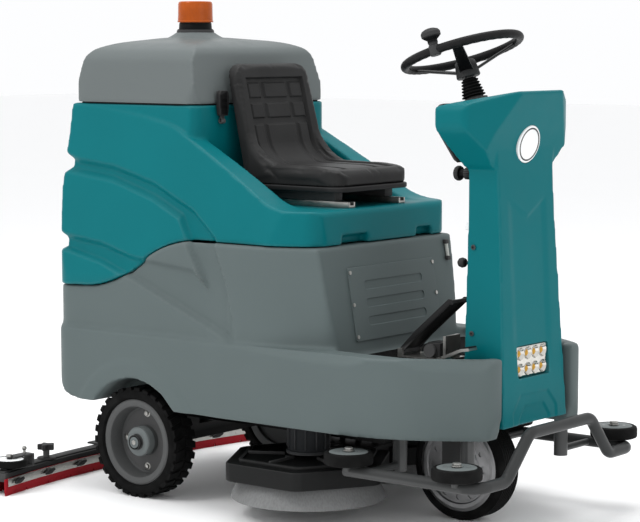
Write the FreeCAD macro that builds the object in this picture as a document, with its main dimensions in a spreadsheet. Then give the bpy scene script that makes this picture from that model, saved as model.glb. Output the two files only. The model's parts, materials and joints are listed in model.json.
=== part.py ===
import FreeCAD, Part
import math
import os
import re
import Sketcher

# A ride-on floor scrubber. +X is forward, +Y is the driver's left, +Z is up and the floor is Z = 0.
# Every size is in millimetres. Stations along X are written ahead of the rear axle, and place()
# shifts each finished piece by axle_x, so that the origin lies under the middle of the machine.

Vec = FreeCAD.Vector
document = FreeCAD.newDocument("floor_scrubber")

SIZES = [
    # where the rear axle lies along the machine
    ("axle_x", -367.0),
    # rear wheels
    ("rear_wheel_radius", 150.0), ("rear_wheel_width", 80.0), ("rear_wheel_inner", 262.0),
    ("rim_radius", 116.0), ("wheel_hub_radius", 40.0), ("axle_radius", 12.5),
    ("wheel_bolt_circle", 73.0), ("fit", 0.05), ("gap", 0.4),
    # moulded lower body
    ("body_half", 360.0), ("body_back", 302.0), ("body_bottom", 252.0), ("body_nose", 1066.0),
    ("nose_half", 206.0), ("taper_start", 830.0), ("wall", 6.0), ("rim_top", 446.0),
    ("floor_top", 424.0), ("console_front", 592.0), ("console_half", 276.0), ("seam", 706.0),
    ("seam_back", 560.0), ("arch_radius", 176.0), ("shoulder_half", 346.0), ("console_foot", 48.0),
    # recovery tank and its lid
    ("tank_top", 1059.0), ("tank_half", 283.0), ("tank_front", 162.0), ("tank_back", 282.0),
    ("deck_height", 797.0), ("well_half", 232.0), ("shoulder_top", 968.0), ("lid_height", 190.0),
    ("lid_crown", 34.0),
    # steering column
    ("column_front", 1060.0), ("column_back", 935.0), ("column_half", 147.0), ("waist_half", 124.0),
    ("column_bottom", 273.0), ("waist_height", 965.0), ("cowl_top", 1100.0), ("cowl_half", 232.0),
    ("cowl_back", 905.0), ("cowl_front", 1076.0), ("badge_height", 973.0), ("badge_radius", 48.0),
    # hand controls on the column's back
    ("control_side", 84.0), ("stop_height", 899.0), ("key_height", 766.0), ("pull_height", 674.0),
    # steering wheel
    ("wheel_centre_x", 828.0), ("wheel_centre_z", 1200.0), ("steer_rake", 18.3),
    ("steer_radius", 150.0), ("steer_rim", 11.5),
    # drive wheel
    ("drive_x", 850.0), ("drive_radius", 140.0), ("drive_half_width", 40.0), ("drive_hub_radius", 116.0),
    ("fork_inside", 52.0), ("fork_top", 298.0), ("kingpin_radius", 22.0), ("head_plate", 12.0),
    # frame
    ("rail_inside", 100.0), ("rail_width", 40.0), ("rail_bottom", 196.0), ("rail_depth", 56.0),
    # bumper
    ("bumper_radius", 15.0), ("bumper_half", 360.0), ("bumper_height", 167.0), ("bumper_front", 1133.0),
    ("bumper_rise", 107.0), ("roller_radius", 62.0), ("roller_thick", 32.0), ("front_roller_x", 1071.0),
    ("rear_roller_x", 745.0), ("roller_bottom", 185.0),
    # brush deck
    ("deck_x", 499.5), ("brush_offset", 215.0), ("brush_radius", 203.0), ("lift", 48.0),
    ("brush_height", 54.0), ("deck_top", 164.0), ("deck_radius", 203.0), ("deck_depth", 60.0),
    # squeegee
    ("squeegee_x", 344.0), ("squeegee_bend", 2443.0), ("squeegee_half", 554.0),
    ("blade_height", 46.0), ("blade_thick", 4.0), ("beam_depth", 60.0), ("swing_x", 70.0),
    ("end_roller_radius", 49.0),
    # seat
    ("seat_half", 163.0), ("seat_front", 556.0), ("seat_back_x", 236.0), ("seat_bottom", 846.0),
    ("cushion_thick", 54.0), ("back_top", 1172.0), ("back_thick", 40.0), ("seat_track", 110.0),
    # batteries
    ("battery_long", 258.0), ("battery_wide", 178.0), ("battery_tall", 270.0), ("tray_height", 352.0),
]
VALUES = dict(SIZES)

sheet = document.addObject("Spreadsheet::Sheet", "sizes")
for row, (name, number_value) in enumerate(SIZES, start=1):
    sheet.set("A%d" % row, name)
    sheet.set("B%d" % row, repr(number_value))
    sheet.setAlias("B%d" % row, name)
document.recompute()

pieces = {}


def linked(text):
    """The expression with each size's name pointed at the sheet."""
    return re.sub(r"\b[a-z][a-z_]*\b", lambda m: "sizes." + m[0] if m[0] in VALUES else m[0], text)


def number(text):
    """The present value of an expression in sizes."""
    plain = re.sub(r"\b[a-z][a-z_]*\b", lambda m: repr(VALUES[m[0]]) if m[0] in VALUES else m[0], text)
    return float(FreeCAD.Units.Quantity(plain.replace("--", "+")).Value)


def bind(thing, prop, text):
    thing.setExpression(prop, linked(text))


def move(thing, x="0", y="0", z="0"):
    for axis, text in zip("xyz", (x, y, z)):
        bind(thing, "Placement.Base." + axis, text)
    return thing


def node(label, thing, x="0", y="0", z="0"):
    """Name a finished piece and put it in the machine's frame."""
    thing.Label = label
    move(thing, "axle_x + (%s)" % x, y, z)
    pieces[label] = thing
    return thing


TURNS = {
    "X": FreeCAD.Rotation(Vec(0, 1, 0), 90),
    "Y": FreeCAD.Rotation(Vec(1, 0, 0), -90),
    "Z": FreeCAD.Rotation(),
}


def block(corner, size):
    box = document.addObject("Part::Box", "block")
    for prop, text in zip(("Length", "Width", "Height"), size):
        bind(box, prop, text)
    return move(box, *corner)


def rod(base, radius, length, axis="Z"):
    cylinder = document.addObject("Part::Cylinder", "rod")
    bind(cylinder, "Radius", radius)
    bind(cylinder, "Height", length)
    cylinder.Placement = FreeCAD.Placement(Vec(), TURNS[axis])
    return move(cylinder, *base)


def ring(base, outside, inside, length, axis="Z"):
    return less(rod(base, outside, length, axis), rod(base, inside, length, axis))


def cone(base, low, high, length, axis="Z"):
    solid = document.addObject("Part::Cone", "cone")
    bind(solid, "Radius1", low)
    bind(solid, "Radius2", high)
    bind(solid, "Height", length)
    solid.Placement = FreeCAD.Placement(Vec(), TURNS[axis])
    return move(solid, *base)


def less(base, *tools):
    for tool in tools:
        result = document.addObject("Part::Cut", "cut")
        result.Base = base
        result.Tool = tool
        base = result
    return base


def joined(*parts):
    if len(parts) == 1:
        return apart(*parts)
    result = document.addObject("Part::MultiFuse", "joined")
    result.Shapes = list(parts)
    return result


def apart(*parts):
    """Separate solids kept in one node."""
    result = document.addObject("Part::Compound", "group")
    result.Links = list(parts)
    return result


def polygon(body, plane, points):
    """A closed sketch on one of the body's own planes, each corner held by two bound distances."""
    sketch = body.newObject("Sketcher::SketchObject", "outline")
    for origin_plane in body.Origin.OriginFeatures:
        if origin_plane.Role == plane:
            sketch.AttachmentSupport = [(origin_plane, "")]
    sketch.MapMode = "FlatFace"
    corners = [Vec(number(u), number(v), 0) for u, v in points]
    count = len(corners)
    for index in range(count):
        sketch.addGeometry(Part.LineSegment(corners[index], corners[(index + 1) % count]))
    for index in range(count):
        sketch.addConstraint(Sketcher.Constraint("Coincident", index, 2, (index + 1) % count, 1))
    for index, pair in enumerate(points):
        for kind, text in zip(("DistanceX", "DistanceY"), pair):
            held = sketch.addConstraint(Sketcher.Constraint(kind, -1, 1, index, 1, number(text)))
            sketch.setExpression("Constraints[%d]" % held, linked(text))
    return sketch


def turned(points, axis="Z"):
    """A body turned about its own axis from (radius, height) corners."""
    body = document.addObject("PartDesign::Body", "turned")
    sketch = polygon(body, "XZ_Plane", points)
    turning = body.newObject("PartDesign::Revolution", "turning")
    turning.Profile = sketch
    turning.ReferenceAxis = (sketch, ["V_Axis"])
    turning.Angle = 360
    body.Tip = turning
    body.Placement = FreeCAD.Placement(Vec(), TURNS[axis])
    return body


def plate(points, thick, plane="XY_Plane", centred=False):
    """A body padded from a flat outline."""
    body = document.addObject("PartDesign::Body", "plate")
    sketch = polygon(body, plane, points)
    pad = body.newObject("PartDesign::Pad", "pad")
    pad.Profile = sketch
    bind(pad, "Length", thick)
    pad.Midplane = centred
    body.Tip = pad
    return body


# Shapes that no sketch or primitive holds are worked out from the same sizes and kept as features.

def v(text):
    return number(text)


def rounded_wire(corners, lift):
    """A closed wire through (u, w, radius) corners; lift turns a pair (u, w) into a point."""
    count = len(corners)
    starts, ends = [], []
    for index, (u, w, radius) in enumerate(corners):
        here = Vec(u, w, 0)
        back = Vec(*corners[index - 1][:2], 0) - here
        ahead = Vec(*corners[(index + 1) % count][:2], 0) - here
        half_angle = back.getAngle(ahead) / 2
        reach = 0 if radius == 0 else radius / math.tan(half_angle)
        reach = min(reach, 0.49 * back.Length, 0.49 * ahead.Length)
        back.normalize()
        ahead.normalize()
        starts.append(here + back * reach)
        ends.append(here + ahead * reach)
    edges = []
    for index, (u, w, radius) in enumerate(corners):
        following = (index + 1) % count
        if (ends[index] - starts[index]).Length > 1e-6:
            here = Vec(u, w, 0)
            middle = (starts[index] + ends[index]) * 0.5
            towards = middle - here
            half_angle = math.atan((starts[index] - middle).Length / towards.Length)
            reach = (starts[index] - here).Length
            true_radius = reach * math.tan(half_angle)
            away = math.hypot(reach, true_radius) - true_radius
            crest = here + towards * (away / towards.Length)
            edges.append(Part.Arc(lift(starts[index]), lift(crest), lift(ends[index])).toShape())
        if (starts[following] - ends[index]).Length > 1e-6:
            edges.append(Part.LineSegment(lift(ends[index]), lift(starts[following])).toShape())
    return Part.Wire(edges)


def prism(corners, axis, low, high):
    """A solid with a rounded outline in the plane across the axis: XY, XZ or YZ."""
    lifts = {
        "Z": lambda point: Vec(point.x, point.y, low),
        "Y": lambda point: Vec(point.x, low, point.y),
        "X": lambda point: Vec(low, point.x, point.y),
    }
    ways = {"X": Vec(1, 0, 0), "Y": Vec(0, 1, 0), "Z": Vec(0, 0, 1)}
    return Part.Face(rounded_wire(corners, lifts[axis])).extrude(ways[axis] * (high - low))


def round_bar(centre, radius, length, axis):
    ways = {"X": Vec(1, 0, 0), "Y": Vec(0, 1, 0), "Z": Vec(0, 0, 1)}
    return Part.makeCylinder(radius, length, Vec(*centre), ways[axis])


def box(low, high):
    size = [b - a for a, b in zip(low, high)]
    return Part.makeBox(size[0], size[1], size[2], Vec(*low))


def worked(shape):
    feature = document.addObject("Part::Feature", "worked")
    feature.Shape = shape.removeSplitter()
    return feature


def tube(points, radius, bend):
    """A round tube along straight runs joined by tangent arcs of one radius."""
    path = []
    last = points[0]
    for index in range(1, len(points) - 1):
        here = points[index]
        back = (points[index - 1] - here)
        ahead = (points[index + 1] - here)
        half_angle = back.getAngle(ahead) / 2
        reach = bend / math.tan(half_angle)
        back.normalize()
        ahead.normalize()
        start, end = here + back * reach, here + ahead * reach
        bisector = (back + ahead).normalize()
        crest = here + bisector * (bend / math.sin(half_angle) - bend)
        path.append(Part.LineSegment(last, start).toShape())
        path.append(Part.Arc(start, crest, end).toShape())
        last = end
    path.append(Part.LineSegment(last, points[-1]).toShape())
    spine = Part.Wire(path)
    ring_edge = Part.makeCircle(radius, points[0], points[1] - points[0])
    return spine.makePipeShell([Part.Wire([ring_edge])], True, True)


# ---------------------------------------------------------------- lower body

def body_plan(inset):
    half = v("body_half") - inset
    return [
        (-v("body_back") + inset, -half, 70), (v("taper_start"), -half, 260),
        (v("body_nose") - inset, -v("nose_half") + inset, 26), (v("body_nose") - inset, v("nose_half") - inset, 26),
        (v("taper_start"), half, 260), (-v("body_back") + inset, half, 70),
    ]


def console_plan(inset):
    half = v("shoulder_half") - inset
    front, narrow = v("console_front") + v("console_foot") - inset, v("console_half") - inset
    bend = v("console_front") - 150
    return [
        (-v("body_back") + inset, -half, 66), (bend, -half, 120), (front, -narrow, 40),
        (front, narrow, 40), (bend, half, 120), (-v("body_back") + inset, half, 66),
    ]


def base_block(inset, open_ends):
    """The low block with the wings (inset 0), or the space inside its wall."""
    low, curl = v("body_bottom") + inset, 62 - inset
    back, nose, top = -v("body_back") + inset, v("body_nose"), v("rim_top") - inset
    half = v("body_half") + 10
    side = [(back, low, curl), (back, top, 0), (nose + 30, top + 8, 0), (nose - 12, low, 0)]
    solid = prism(body_plan(inset), "Z", low, top + 60).common(prism(side, "Y", -half, half))
    if open_ends:
        below = prism(body_plan(inset), "Z", low - 40, low + 1)
        solid = solid.fuse(below.common(box((back + curl, -half, low - 50), (nose + 50, half, low + 2))))
    return solid


def console_block(inset, open_ends):
    """The tall block under the tank, with the S-shaped joint line along its top."""
    rise = 60 if open_ends else 0
    back, front = -v("body_back") + inset, v("console_front") - inset
    low, top, low_seam = v("rim_top") - 60, v("seam") + rise, v("seam_back") + rise
    half = v("body_half") + 10
    lean = v("console_foot") / (v("seam") - v("floor_top"))
    side = [
        (back, low, 0), (front + lean * (v("seam") - low), low, 0), (front - lean * rise, top, 0),
        (118, top, 110), (-80, low_seam + 8, 110), (back, low_seam, 0),
    ]
    return prism(console_plan(inset), "Z", low, top + 20).common(prism(side, "Y", -half, half))


def foot_plan(grow):
    front, nose = v("console_front") - 20 - grow, v("body_nose") - 34 + grow
    near, middle, far = v("console_half") + 2 + grow, 286 + grow, v("nose_half") - 24 + grow
    bend = v("taper_start") + 40
    return [
        (front, -near, 0), (bend, -middle, 60), (nose, -far, 20), (nose, far, 20), (bend, middle, 60),
        (front, near, 0),
    ]


def wheel_arch(radius, inner):
    outer = v("body_half") + 30
    height = v("rear_wheel_radius")
    right = round_bar((8, -outer, height), radius, outer - inner, "Y")
    left = round_bar((8, inner, height), radius, outer - inner, "Y")
    return right.fuse(left)


def lower_body():
    wall, arch = v("wall"), v("arch_radius")
    well_side = v("rear_wheel_inner") - 14
    console, console_space = console_block(0, False), console_block(wall, True)
    inside = base_block(wall, True).fuse(console_space)
    inside = inside.cut(wheel_arch(arch + wall, well_side - wall))
    # the footwell: a floor one wall thick between the wings, open above
    floor, high = v("floor_top"), v("rim_top") + 60
    footwell = prism(foot_plan(0), "Z", floor, high).cut(console)
    floor_slab = prism(foot_plan(wall), "Z", floor - wall, high).cut(console_space)
    inside = inside.cut(floor_slab)
    gate = v("column_half") + 12
    notch = box((v("column_back") - 12, -gate, 0), (v("body_nose") + 60, gate, high))
    solid = base_block(0, False).fuse(console)
    solid = solid.cut(inside).cut(footwell).cut(notch).cut(wheel_arch(arch, well_side))
    # the access opening in the console's front, behind the bolted panel
    front = v("console_front")
    return solid.cut(box((front - 20, -176, 478), (front + 60, 176, 630)))


# ---------------------------------------------------------------- recovery tank

def tank_block(inset, rise, drop):
    """The outside of the tank (inset 0); rise lifts its top and drop lowers its underside."""
    back, top, half = -v("tank_back") + inset, v("tank_top") + rise, v("body_half") + 10
    foot_back = -v("body_back") + 6 + inset
    seam, low_seam = v("seam") + 1 - drop, v("seam_back") + 1 - drop
    front = v("console_front") - 10 - inset
    shoulder = v("tank_front") + 8 - inset
    slope = 12 / (v("tank_top") - 800)
    side = [
        (front + 10, seam, 0), (front, v("deck_height") - inset, 12), (shoulder + 282, v("deck_height") + 2 - inset, 60),
        (shoulder, v("shoulder_top") - inset, 0), (shoulder, top, 0),
        (back + 4 + slope * rise, top, 0), (back - 8, 800, 300), (foot_back, low_seam, 0),
        (-80, low_seam + 8, 110), (118, seam, 110),
    ]
    wide, narrow = v("shoulder_half") + 9 - inset, v("tank_half") - inset
    slope = (wide - narrow) / (v("tank_top") - v("seam_back"))
    narrow -= slope * rise
    wide += slope * max(drop, 0)
    lean = [(wide, low_seam), (narrow, top), (-narrow, top), (-wide, low_seam)]
    solid = prism(console_plan(inset), "Z", low_seam, top)
    solid = solid.common(prism(side, "Y", -half, half))
    return solid.common(prism([(y, z, 0) for y, z in lean], "X", -500, 800))


def recovery_tank():
    wall, well, deck = v("wall"), v("well_half"), v("deck_height")
    front, top = v("tank_front"), v("tank_top")
    solid = tank_block(0, 0, 0)
    # the seat stands in a well between the shoulders
    solid = solid.cut(box((front, -well, deck), (800, well, top + 50)))
    well_walls = box((front - wall, -well - wall, deck - wall), (800, well + wall, top + 50))
    dirty_water = tank_block(wall, 60, -wall).common(box((-600, -500, 0), (front - wall, 500, 2000)))
    # the dry pocket that the suction motor stands in
    pocket = box((-20, -112, 862), (front, 112, top))
    pocket_space = box((-20 + wall, -112 + wall, 862 + wall), (front - wall, 112 - wall, top + 60))
    dirty_water = dirty_water.cut(pocket).fuse(pocket_space)
    hood = tank_block(wall, 0, 60).common(box((front, -500, 0), (900, 500, 2000))).cut(well_walls)
    return solid.cut(dirty_water).cut(hood)


def lid_plan(inset):
    back, front, half = -v("tank_back") + 2 + inset, v("tank_front") + 6 - inset, v("tank_half") - inset
    return [(back, -half, 58), (front, -half, 52), (front, half, 52), (back, half, 58)]


def lid_block(inset, drop):
    low, top = v("tank_top") + 3 - drop, v("tank_top") + 3 + v("lid_height") - inset
    back, front, half = -v("tank_back") + 2 + inset, v("tank_front") + 6 - inset, v("tank_half") - inset
    edge = top - v("lid_crown")
    side = [(back, low, 0), (back + 46, edge - 6, 60), (-190, top, 120), (40, top, 120), (front - 30, edge + 4, 60), (front, low, 0)]
    face = [(-half, low, 0), (-half + 22, edge - 2, 64), (-112, top, 200), (112, top, 200), (half - 22, edge - 2, 64), (half, low, 0)]
    solid = prism(lid_plan(inset), "Z", low, top)
    return solid.common(prism(side, "Y", -500, 500)).common(prism(face, "X", -600, 600))


def lid_seal():
    low = v("tank_top")
    outer = prism(lid_plan(3), "Z", low, low + 3)
    return outer.cut(prism(lid_plan(9), "Z", low - 1, low + 4))


# ---------------------------------------------------------------- steering column

def column_block(inset, open_back):
    back = v("column_back") - (80 if open_back else 0)
    low = v("column_bottom") - (60 if open_back else 0)
    front, waist = v("column_front") - inset, v("waist_height")
    half, narrow = v("column_half") - inset, v("waist_half") - inset
    side = [(front, low, 0), (front - 40, waist, 90), (front - 30, waist + 60, 0), (back, waist + 60, 0), (back, low, 0)]
    face = [(-half, low, 0), (-narrow, 850, 400), (-narrow - 6, waist + 60, 0), (narrow + 6, waist + 60, 0), (narrow, 850, 400), (half, low, 0)]
    solid = prism(side, "Y", -400, 400).common(prism(face, "X", 500, 1200))
    plan = [(front, -half, 26), (front, half, 26), (back, half + 1, 0), (back, -half - 1, 0)]
    return solid.common(prism(plan, "Z", low, waist + 80))


def cowl_block(inset, open_back):
    """The flared head of the column, with a knee guard on each side."""
    back = v("cowl_back") - (60 if open_back else 0)
    front, top = v("cowl_front") - inset, v("cowl_top") + 10 - inset
    wing, waist, face_half = v("cowl_half") - inset, v("waist_height"), 86
    narrow = v("waist_half") - inset
    plan = [
        (front, -face_half + inset, 20), (front, face_half - inset, 20), (v("cowl_back") + 90 - inset, wing, 18),
        (back, wing, 0), (back, -wing, 0), (v("cowl_back") + 90 - inset, -wing, 18),
    ]
    side = [
        (v("column_front") - 44 - inset, waist - 60, 0), (v("column_front") - 40 - inset, waist, 80),
        (front, top, 14), (back, top - 40, 0), (back, waist + 34 + inset, 40), (v("column_back"), waist - 60, 0),
    ]
    face = [
        (-narrow, waist - 60, 40), (-wing, waist + 52, 16), (-wing, top - 34, 22), (-face_half, top, 30),
        (face_half, top, 30), (wing, top - 34, 22), (wing, waist + 52, 16), (narrow, waist - 60, 40),
    ]
    solid = prism(plan, "Z", waist - 80, top + 10).common(prism(side, "Y", -400, 400))
    return solid.common(prism(face, "X", 500, 1200))


def column_cover():
    wall = v("wall") - 1
    outer = column_block(0, False).fuse(cowl_block(0, False))
    inner = column_block(wall, True).fuse(cowl_block(wall, True))
    # the arch-shaped recess at the foot and the window of the lamp
    lamp = box((v("column_front") - 60, -72, 390), (v("column_front") + 40, 72, 472))
    badge = round_bar((v("column_front") - 44, 0, v("badge_height")), v("badge_radius") + 0.3, 80, "X")
    bar = v("fork_top") + 6 + v("head_plate")
    slot = box((980, -200, bar - 4), (1020, 200, bar + 28))
    return outer.cut(inner).cut(lamp).cut(badge).cut(slot)


# ---------------------------------------------------------------- chassis

node("lower_body", worked(lower_body()))
node("column_cover", worked(column_cover()))


def frame():
    inside, wide, low, deep = "rail_inside", "rail_width", "rail_bottom", "rail_depth"
    head, thick = "(fork_top + 6)", "head_plate"
    parts = []
    for side in ("%s", "-(%s) - rail_width"):
        rail_y = side % inside
        parts.append(block(("-225", rail_y, low), ("915", wide, deep)))
        parts.append(block(("650", rail_y, "%s + %s" % (low, deep)), ("40", wide, "%s - %s - %s" % (head, low, deep))))
        # uprights that carry the footwell floor
        foot_y = side.replace("rail_width", "30") % "106"
        parts.append(block(("670", foot_y, "%s + %s" % (head, thick)), ("30", "30", "floor_top - wall - %s - %s" % (head, thick))))
    # the head plate over the drive wheel, with the kingpin housing and the column post
    plate_half = "(column_half - wall - 3)"
    parts.append(block(("650", "-" + plate_half, head), ("370", "2 * " + plate_half, thick)))
    parts.append(rod(("drive_x", "0", head), "38", "66"))
    parts.append(block(("950", "-25", head), ("50", "50", "660")))
    # cross members: rear, under the batteries, and two for the bumper
    for station, half, bottom, depth, length in (
        ("-225", "body_half - wall", "262", "30", "30"), ("-70", "230", low, deep, "40"),
        ("60", "230", "rail_bottom + rail_depth", "tray_height - 4 - rail_bottom - rail_depth", "40"),
        ("330", "230", "rail_bottom + rail_depth", "tray_height - 4 - rail_bottom - rail_depth", "40"),
        ("565", "230", "rail_bottom + rail_depth", "tray_height - 4 - rail_bottom - rail_depth", "25"),
        ("780", "232", "fork_top + 6 + head_plate", "24", "28"),
        ("986", "222", "fork_top + 6 + head_plate", "24", "28"),
    ):
        parts.append(block((station, "-(%s)" % half, bottom), (length, "2 * (%s)" % half, depth)))
    # battery tray, lift bridge and the plate that the squeegee swings under
    parts.append(block(("30", "-266", "tray_height - 4"), ("556", "532", "4")))
    parts.append(block(("deck_x - 70", "-rail_inside", "236"), ("140", "2 * rail_inside", "12")))
    parts.append(block(("-swing_x - 45", "-rail_inside - rail_width", "rail_bottom - 12"), ("90", "2 * (rail_inside + rail_width)", "12")))
    parts.append(rod(("-swing_x", "0", "148"), "10", "rail_bottom - 150"))
    parts.append(rod(("-swing_x", "0", "144"), "18", "5"))
    drills = [
        rod(("drive_x", "0", "200"), "kingpin_radius + fit", "200"),
        rod(("deck_x", "0", "200"), "24", "90"),
        rod(("deck_x - 55", "0", "200"), "8 + gap", "90"),
        rod(("deck_x + 55", "0", "200"), "8 + gap", "90"),
        block(("956", "-19", "340"), ("38", "38", "700")),
    ]
    return less(joined(*parts), *drills)


node("frame", frame())
node("rear_axle", joined(
    block(("-20", "-230", "rear_wheel_radius - 20"), ("40", "460", "40")),
    block(("-20", "rail_inside", "rear_wheel_radius + 20"), ("40", "rail_width", "rail_bottom - rear_wheel_radius - 20")),
    block(("-20", "-rail_inside - rail_width", "rear_wheel_radius + 20"), ("40", "rail_width", "rail_bottom - rear_wheel_radius - 20")),
    rod(("0", "-336", "rear_wheel_radius"), "axle_radius", "672", "Y"),
    rod(("0", "-344", "rear_wheel_radius"), "20", "8", "Y"),
    rod(("0", "336", "rear_wheel_radius"), "20", "8", "Y"),
))

batteries = []
for along in ("40", "40 + battery_wide + 4"):
    for across in ("3", "-3 - battery_long"):
        batteries.append(block((along, across, "tray_height"), ("battery_wide", "battery_long", "battery_tall")))
        for post in ("40", "battery_long - 40"):
            batteries.append(rod(("%s + 28" % along, "%s + %s" % (across, post), "tray_height + battery_tall"), "9", "14"))
node("batteries", joined(*batteries))

tank_side = "268"
node("clean_water_tank", less(
    joined(
        block(("412", "-" + tank_side, "tray_height"), ("170", "2 * " + tank_side, "686 - tray_height")),
        rod(("440", "0", "686"), "26", "10"),
    ),
    block(("417", "5 - " + tank_side, "tray_height + 5"), ("160", "2 * %s - 10" % tank_side, "676 - tray_height")),
    rod(("440", "0", "670"), "21", "40"),
))
node("solution_pump", joined(
    block(("594", "rail_inside", "rail_bottom + rail_depth"), ("32", "rail_width", "46")),
    rod(("626", "rail_inside + 20", "rail_bottom + rail_depth + 25"), "17", "20", "X"),
    rod(("608", "rail_inside + 20", "rail_bottom + rail_depth + 46"), "7", "18"),
))
fins = [block(("704 + %d" % (9 * n), "-90", "fork_top + 46"), ("4", "180", "22")) for n in range(8)]
node("motor_controller", joined(
    block(("700", "-95", "fork_top + 6 + head_plate"), ("78", "190", "30")), *fins))


def dash_panel():
    gap = v("wall") - 1 + v("gap")
    back, cowl, foot = v("column_back") + 1, v("cowl_back") + 2, v("fork_top") + 46
    slab = column_block(gap, True).common(box((back, -400, foot), (back + 6, 400, v("waist_height") + 20)))
    head = cowl_block(gap, True).common(box((cowl, -400, v("waist_height") - 80), (cowl + 6, 400, 1200)))
    side = [(846, 1060, 16), (846, 1022, 20), (cowl, 962, 60), (back + 6, 930, 0), (back + 6, 1060, 0)]
    pod = prism(side, "Y", -74, 74)
    rake = math.radians(v("steer_rake"))
    centre = Vec(v("wheel_centre_x"), 0, v("wheel_centre_z"))
    down = Vec(math.sin(rake), 0, -math.cos(rake))
    bore = Part.makeCylinder(34 + v("fit"), 140, centre + down * 100, down)
    post = box((948, -26, 300), (1002, 26, 1010))
    # collars that the stop button and the pull knob run in
    aside = -v("control_side")
    collar = round_bar((v("column_back") - 34, aside, v("stop_height")), 15, 36, "X")
    stop_bore = round_bar((v("column_back") - 60, aside, v("stop_height")), 10 + v("fit"), 70, "X")
    pull_bore = round_bar((v("column_back") - 60, aside, v("pull_height")), 4 + v("fit"), 90, "X")
    solid = slab.fuse(head).fuse(pod).fuse(collar)
    return solid.cut(bore).cut(post).cut(stop_bore).cut(pull_bore)


node("dash_panel", worked(dash_panel()))


def raked(shape_node):
    """Stand a piece on the steering axis: its own +Z runs up the raked shaft."""
    turn = FreeCAD.Rotation(Vec(0, 1, 0), -v("steer_rake"))
    shape_node.Placement = FreeCAD.Placement(Vec(), turn)
    return shape_node


HUB = ("wheel_centre_x", "0", "wheel_centre_z")
node("steering_unit", raked(joined(
    ring(("0", "0", "-232"), "34", "11 + fit", "108"),
    ring(("0", "0", "-124"), "24", "14", "4"),
)), *HUB)
folds = [("19", "-120")]
for n in range(5):
    folds += [("31 - %d" % (2 * n), "%g" % (-120 + 9.6 * n + 2)), ("26 - %d" % (2 * n), "%g" % (-120 + 9.6 * n + 7))]
folds += [("20", "-70"), ("14", "-70"), ("14", "-112"), ("14", "-120")]
node("steering_bellows", raked(turned(folds)), *HUB)

lamp_cups = []
for row_height in (21, 61):
    for cup in range(4):
        lamp_cups.append(cone(("1036", "%d" % (-51 + 34 * cup), "390 + %d" % row_height), "6", "14.5", "16", "X"))
lamp_body = joined(
    block(("1004", "-70", "391"), ("44", "140", "80")),
    block(("1000", "-20", "400"), ("4", "40", "60")),
)
node("headlight", less(lamp_body, *lamp_cups))
node("badge_plate", joined(
    rod(("column_front - 44", "0", "badge_height"), "badge_radius", "18", "X"),
    cone(("column_front - 26", "0", "badge_height"), "badge_radius", "badge_radius - 4", "3", "X"),
))

LEAN = "(console_foot / (seam - floor_top))"


def console_face(height):
    """X of the console's leaning front at a height."""
    return "console_front + %s * (seam - (%s))" % (LEAN, height)


panel_low, panel_high = "461", "649"
panel = plate([
    (console_face(panel_low), panel_low), ("%s + 4" % console_face(panel_low), panel_low),
    ("%s + 4" % console_face(panel_high), panel_high), (console_face(panel_high), panel_high),
], "376", "XZ_Plane", True)
# three long pressings, sunk into the panel's face to stiffen it
pressings = []
for n in range(3):
    under, over = "%d" % (498 + 46 * n), "%d" % (520 + 46 * n)
    pressings.append(plate([
        ("%s + 1.5" % console_face(under), under), ("%s + 12" % console_face(under), under),
        ("%s + 12" % console_face(over), over), ("%s + 1.5" % console_face(over), over),
    ], "256", "XZ_Plane", True))
node("access_panel", less(panel, *pressings))

screws = []
for level in ("473", "555", "637"):
    for across in ("-182", "182"):
        screw = rod((console_face(level), across, level), "5", "3", "X")
        lean = math.degrees(math.atan(v("console_foot") / (v("seam") - v("floor_top"))))
        screw.Placement = FreeCAD.Placement(Vec(), FreeCAD.Rotation(Vec(0, 1, 0), 90 - lean))
        move(screw, "%s + 4" % console_face(level), across, level)
        screws.append(screw)
node("cover_screws", apart(*screws))


def foot_mat():
    floor = v("floor_top")
    sheet_solid = prism(foot_plan(-9), "Z", floor, floor + 4)
    console = box((0, -500, 0), (v("console_front") + v("console_foot") + 10, 500, 900))
    gate = v("column_half") + 16
    return sheet_solid.cut(console).cut(box((v("column_back") - 16, -gate, 0), (1300, gate, 900)))


node("foot_mat", worked(foot_mat()))
MAT = "floor_top + 4"
node("pedal_bracket", joined(
    block(("735", "-146", MAT), ("150", "86", "5")),
    block(("815", "-122", MAT), ("34", "44", "34")),
    block(("866", "-132", MAT), ("8", "64", "62")),
    block(("735", "-146", MAT), ("14", "6", "22")),
    block(("735", "-66", MAT), ("14", "6", "22")),
    rod(("742", "-146", MAT + " + 14"), "4", "86", "Y"),
    block(("892", "-198", MAT), ("60", "40", "4")),
    block(("896", "-202", MAT), ("16", "4", "18")),
    block(("896", "-158", MAT), ("16", "4", "18")),
    rod(("904", "-202", MAT + " + 12"), "4", "48", "Y"),
))


def bumper_frame():
    radius, half, low = v("bumper_radius"), v("bumper_half"), v("bumper_height")
    front, back, rise = v("bumper_front"), v("rear_roller_x") - 12, v("bumper_rise")
    path = [Vec(back, -half, low), Vec(front - 6, -half, low), Vec(front - 4, -240, low)]
    path += [Vec(front, -141, low + rise)]
    path += [Vec(point.x, -point.y, point.z) for point in reversed(path)]
    solid = tube(path, radius, 42)
    for side in (-1, 1):
        for x in (794, 1000):
            solid = solid.fuse(round_bar((x, side * 215, low - 16), 18, v("fork_top") + 18 - low + 16, "Z"))
            arm_start = side * 215 if side > 0 else -half
            solid = solid.fuse(round_bar((x, arm_start, low), 9, half - 215, "Y"))
        for x in (v("front_roller_x"), v("rear_roller_x")):
            solid = solid.fuse(round_bar((x, side * (half + 4), low), 8, v("roller_bottom") - low + v("roller_thick") + 4, "Z"))
            solid = solid.fuse(round_bar((x, side * (half + 4), low), 14, v("roller_bottom") - low - 1, "Z"))
    return solid


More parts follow.
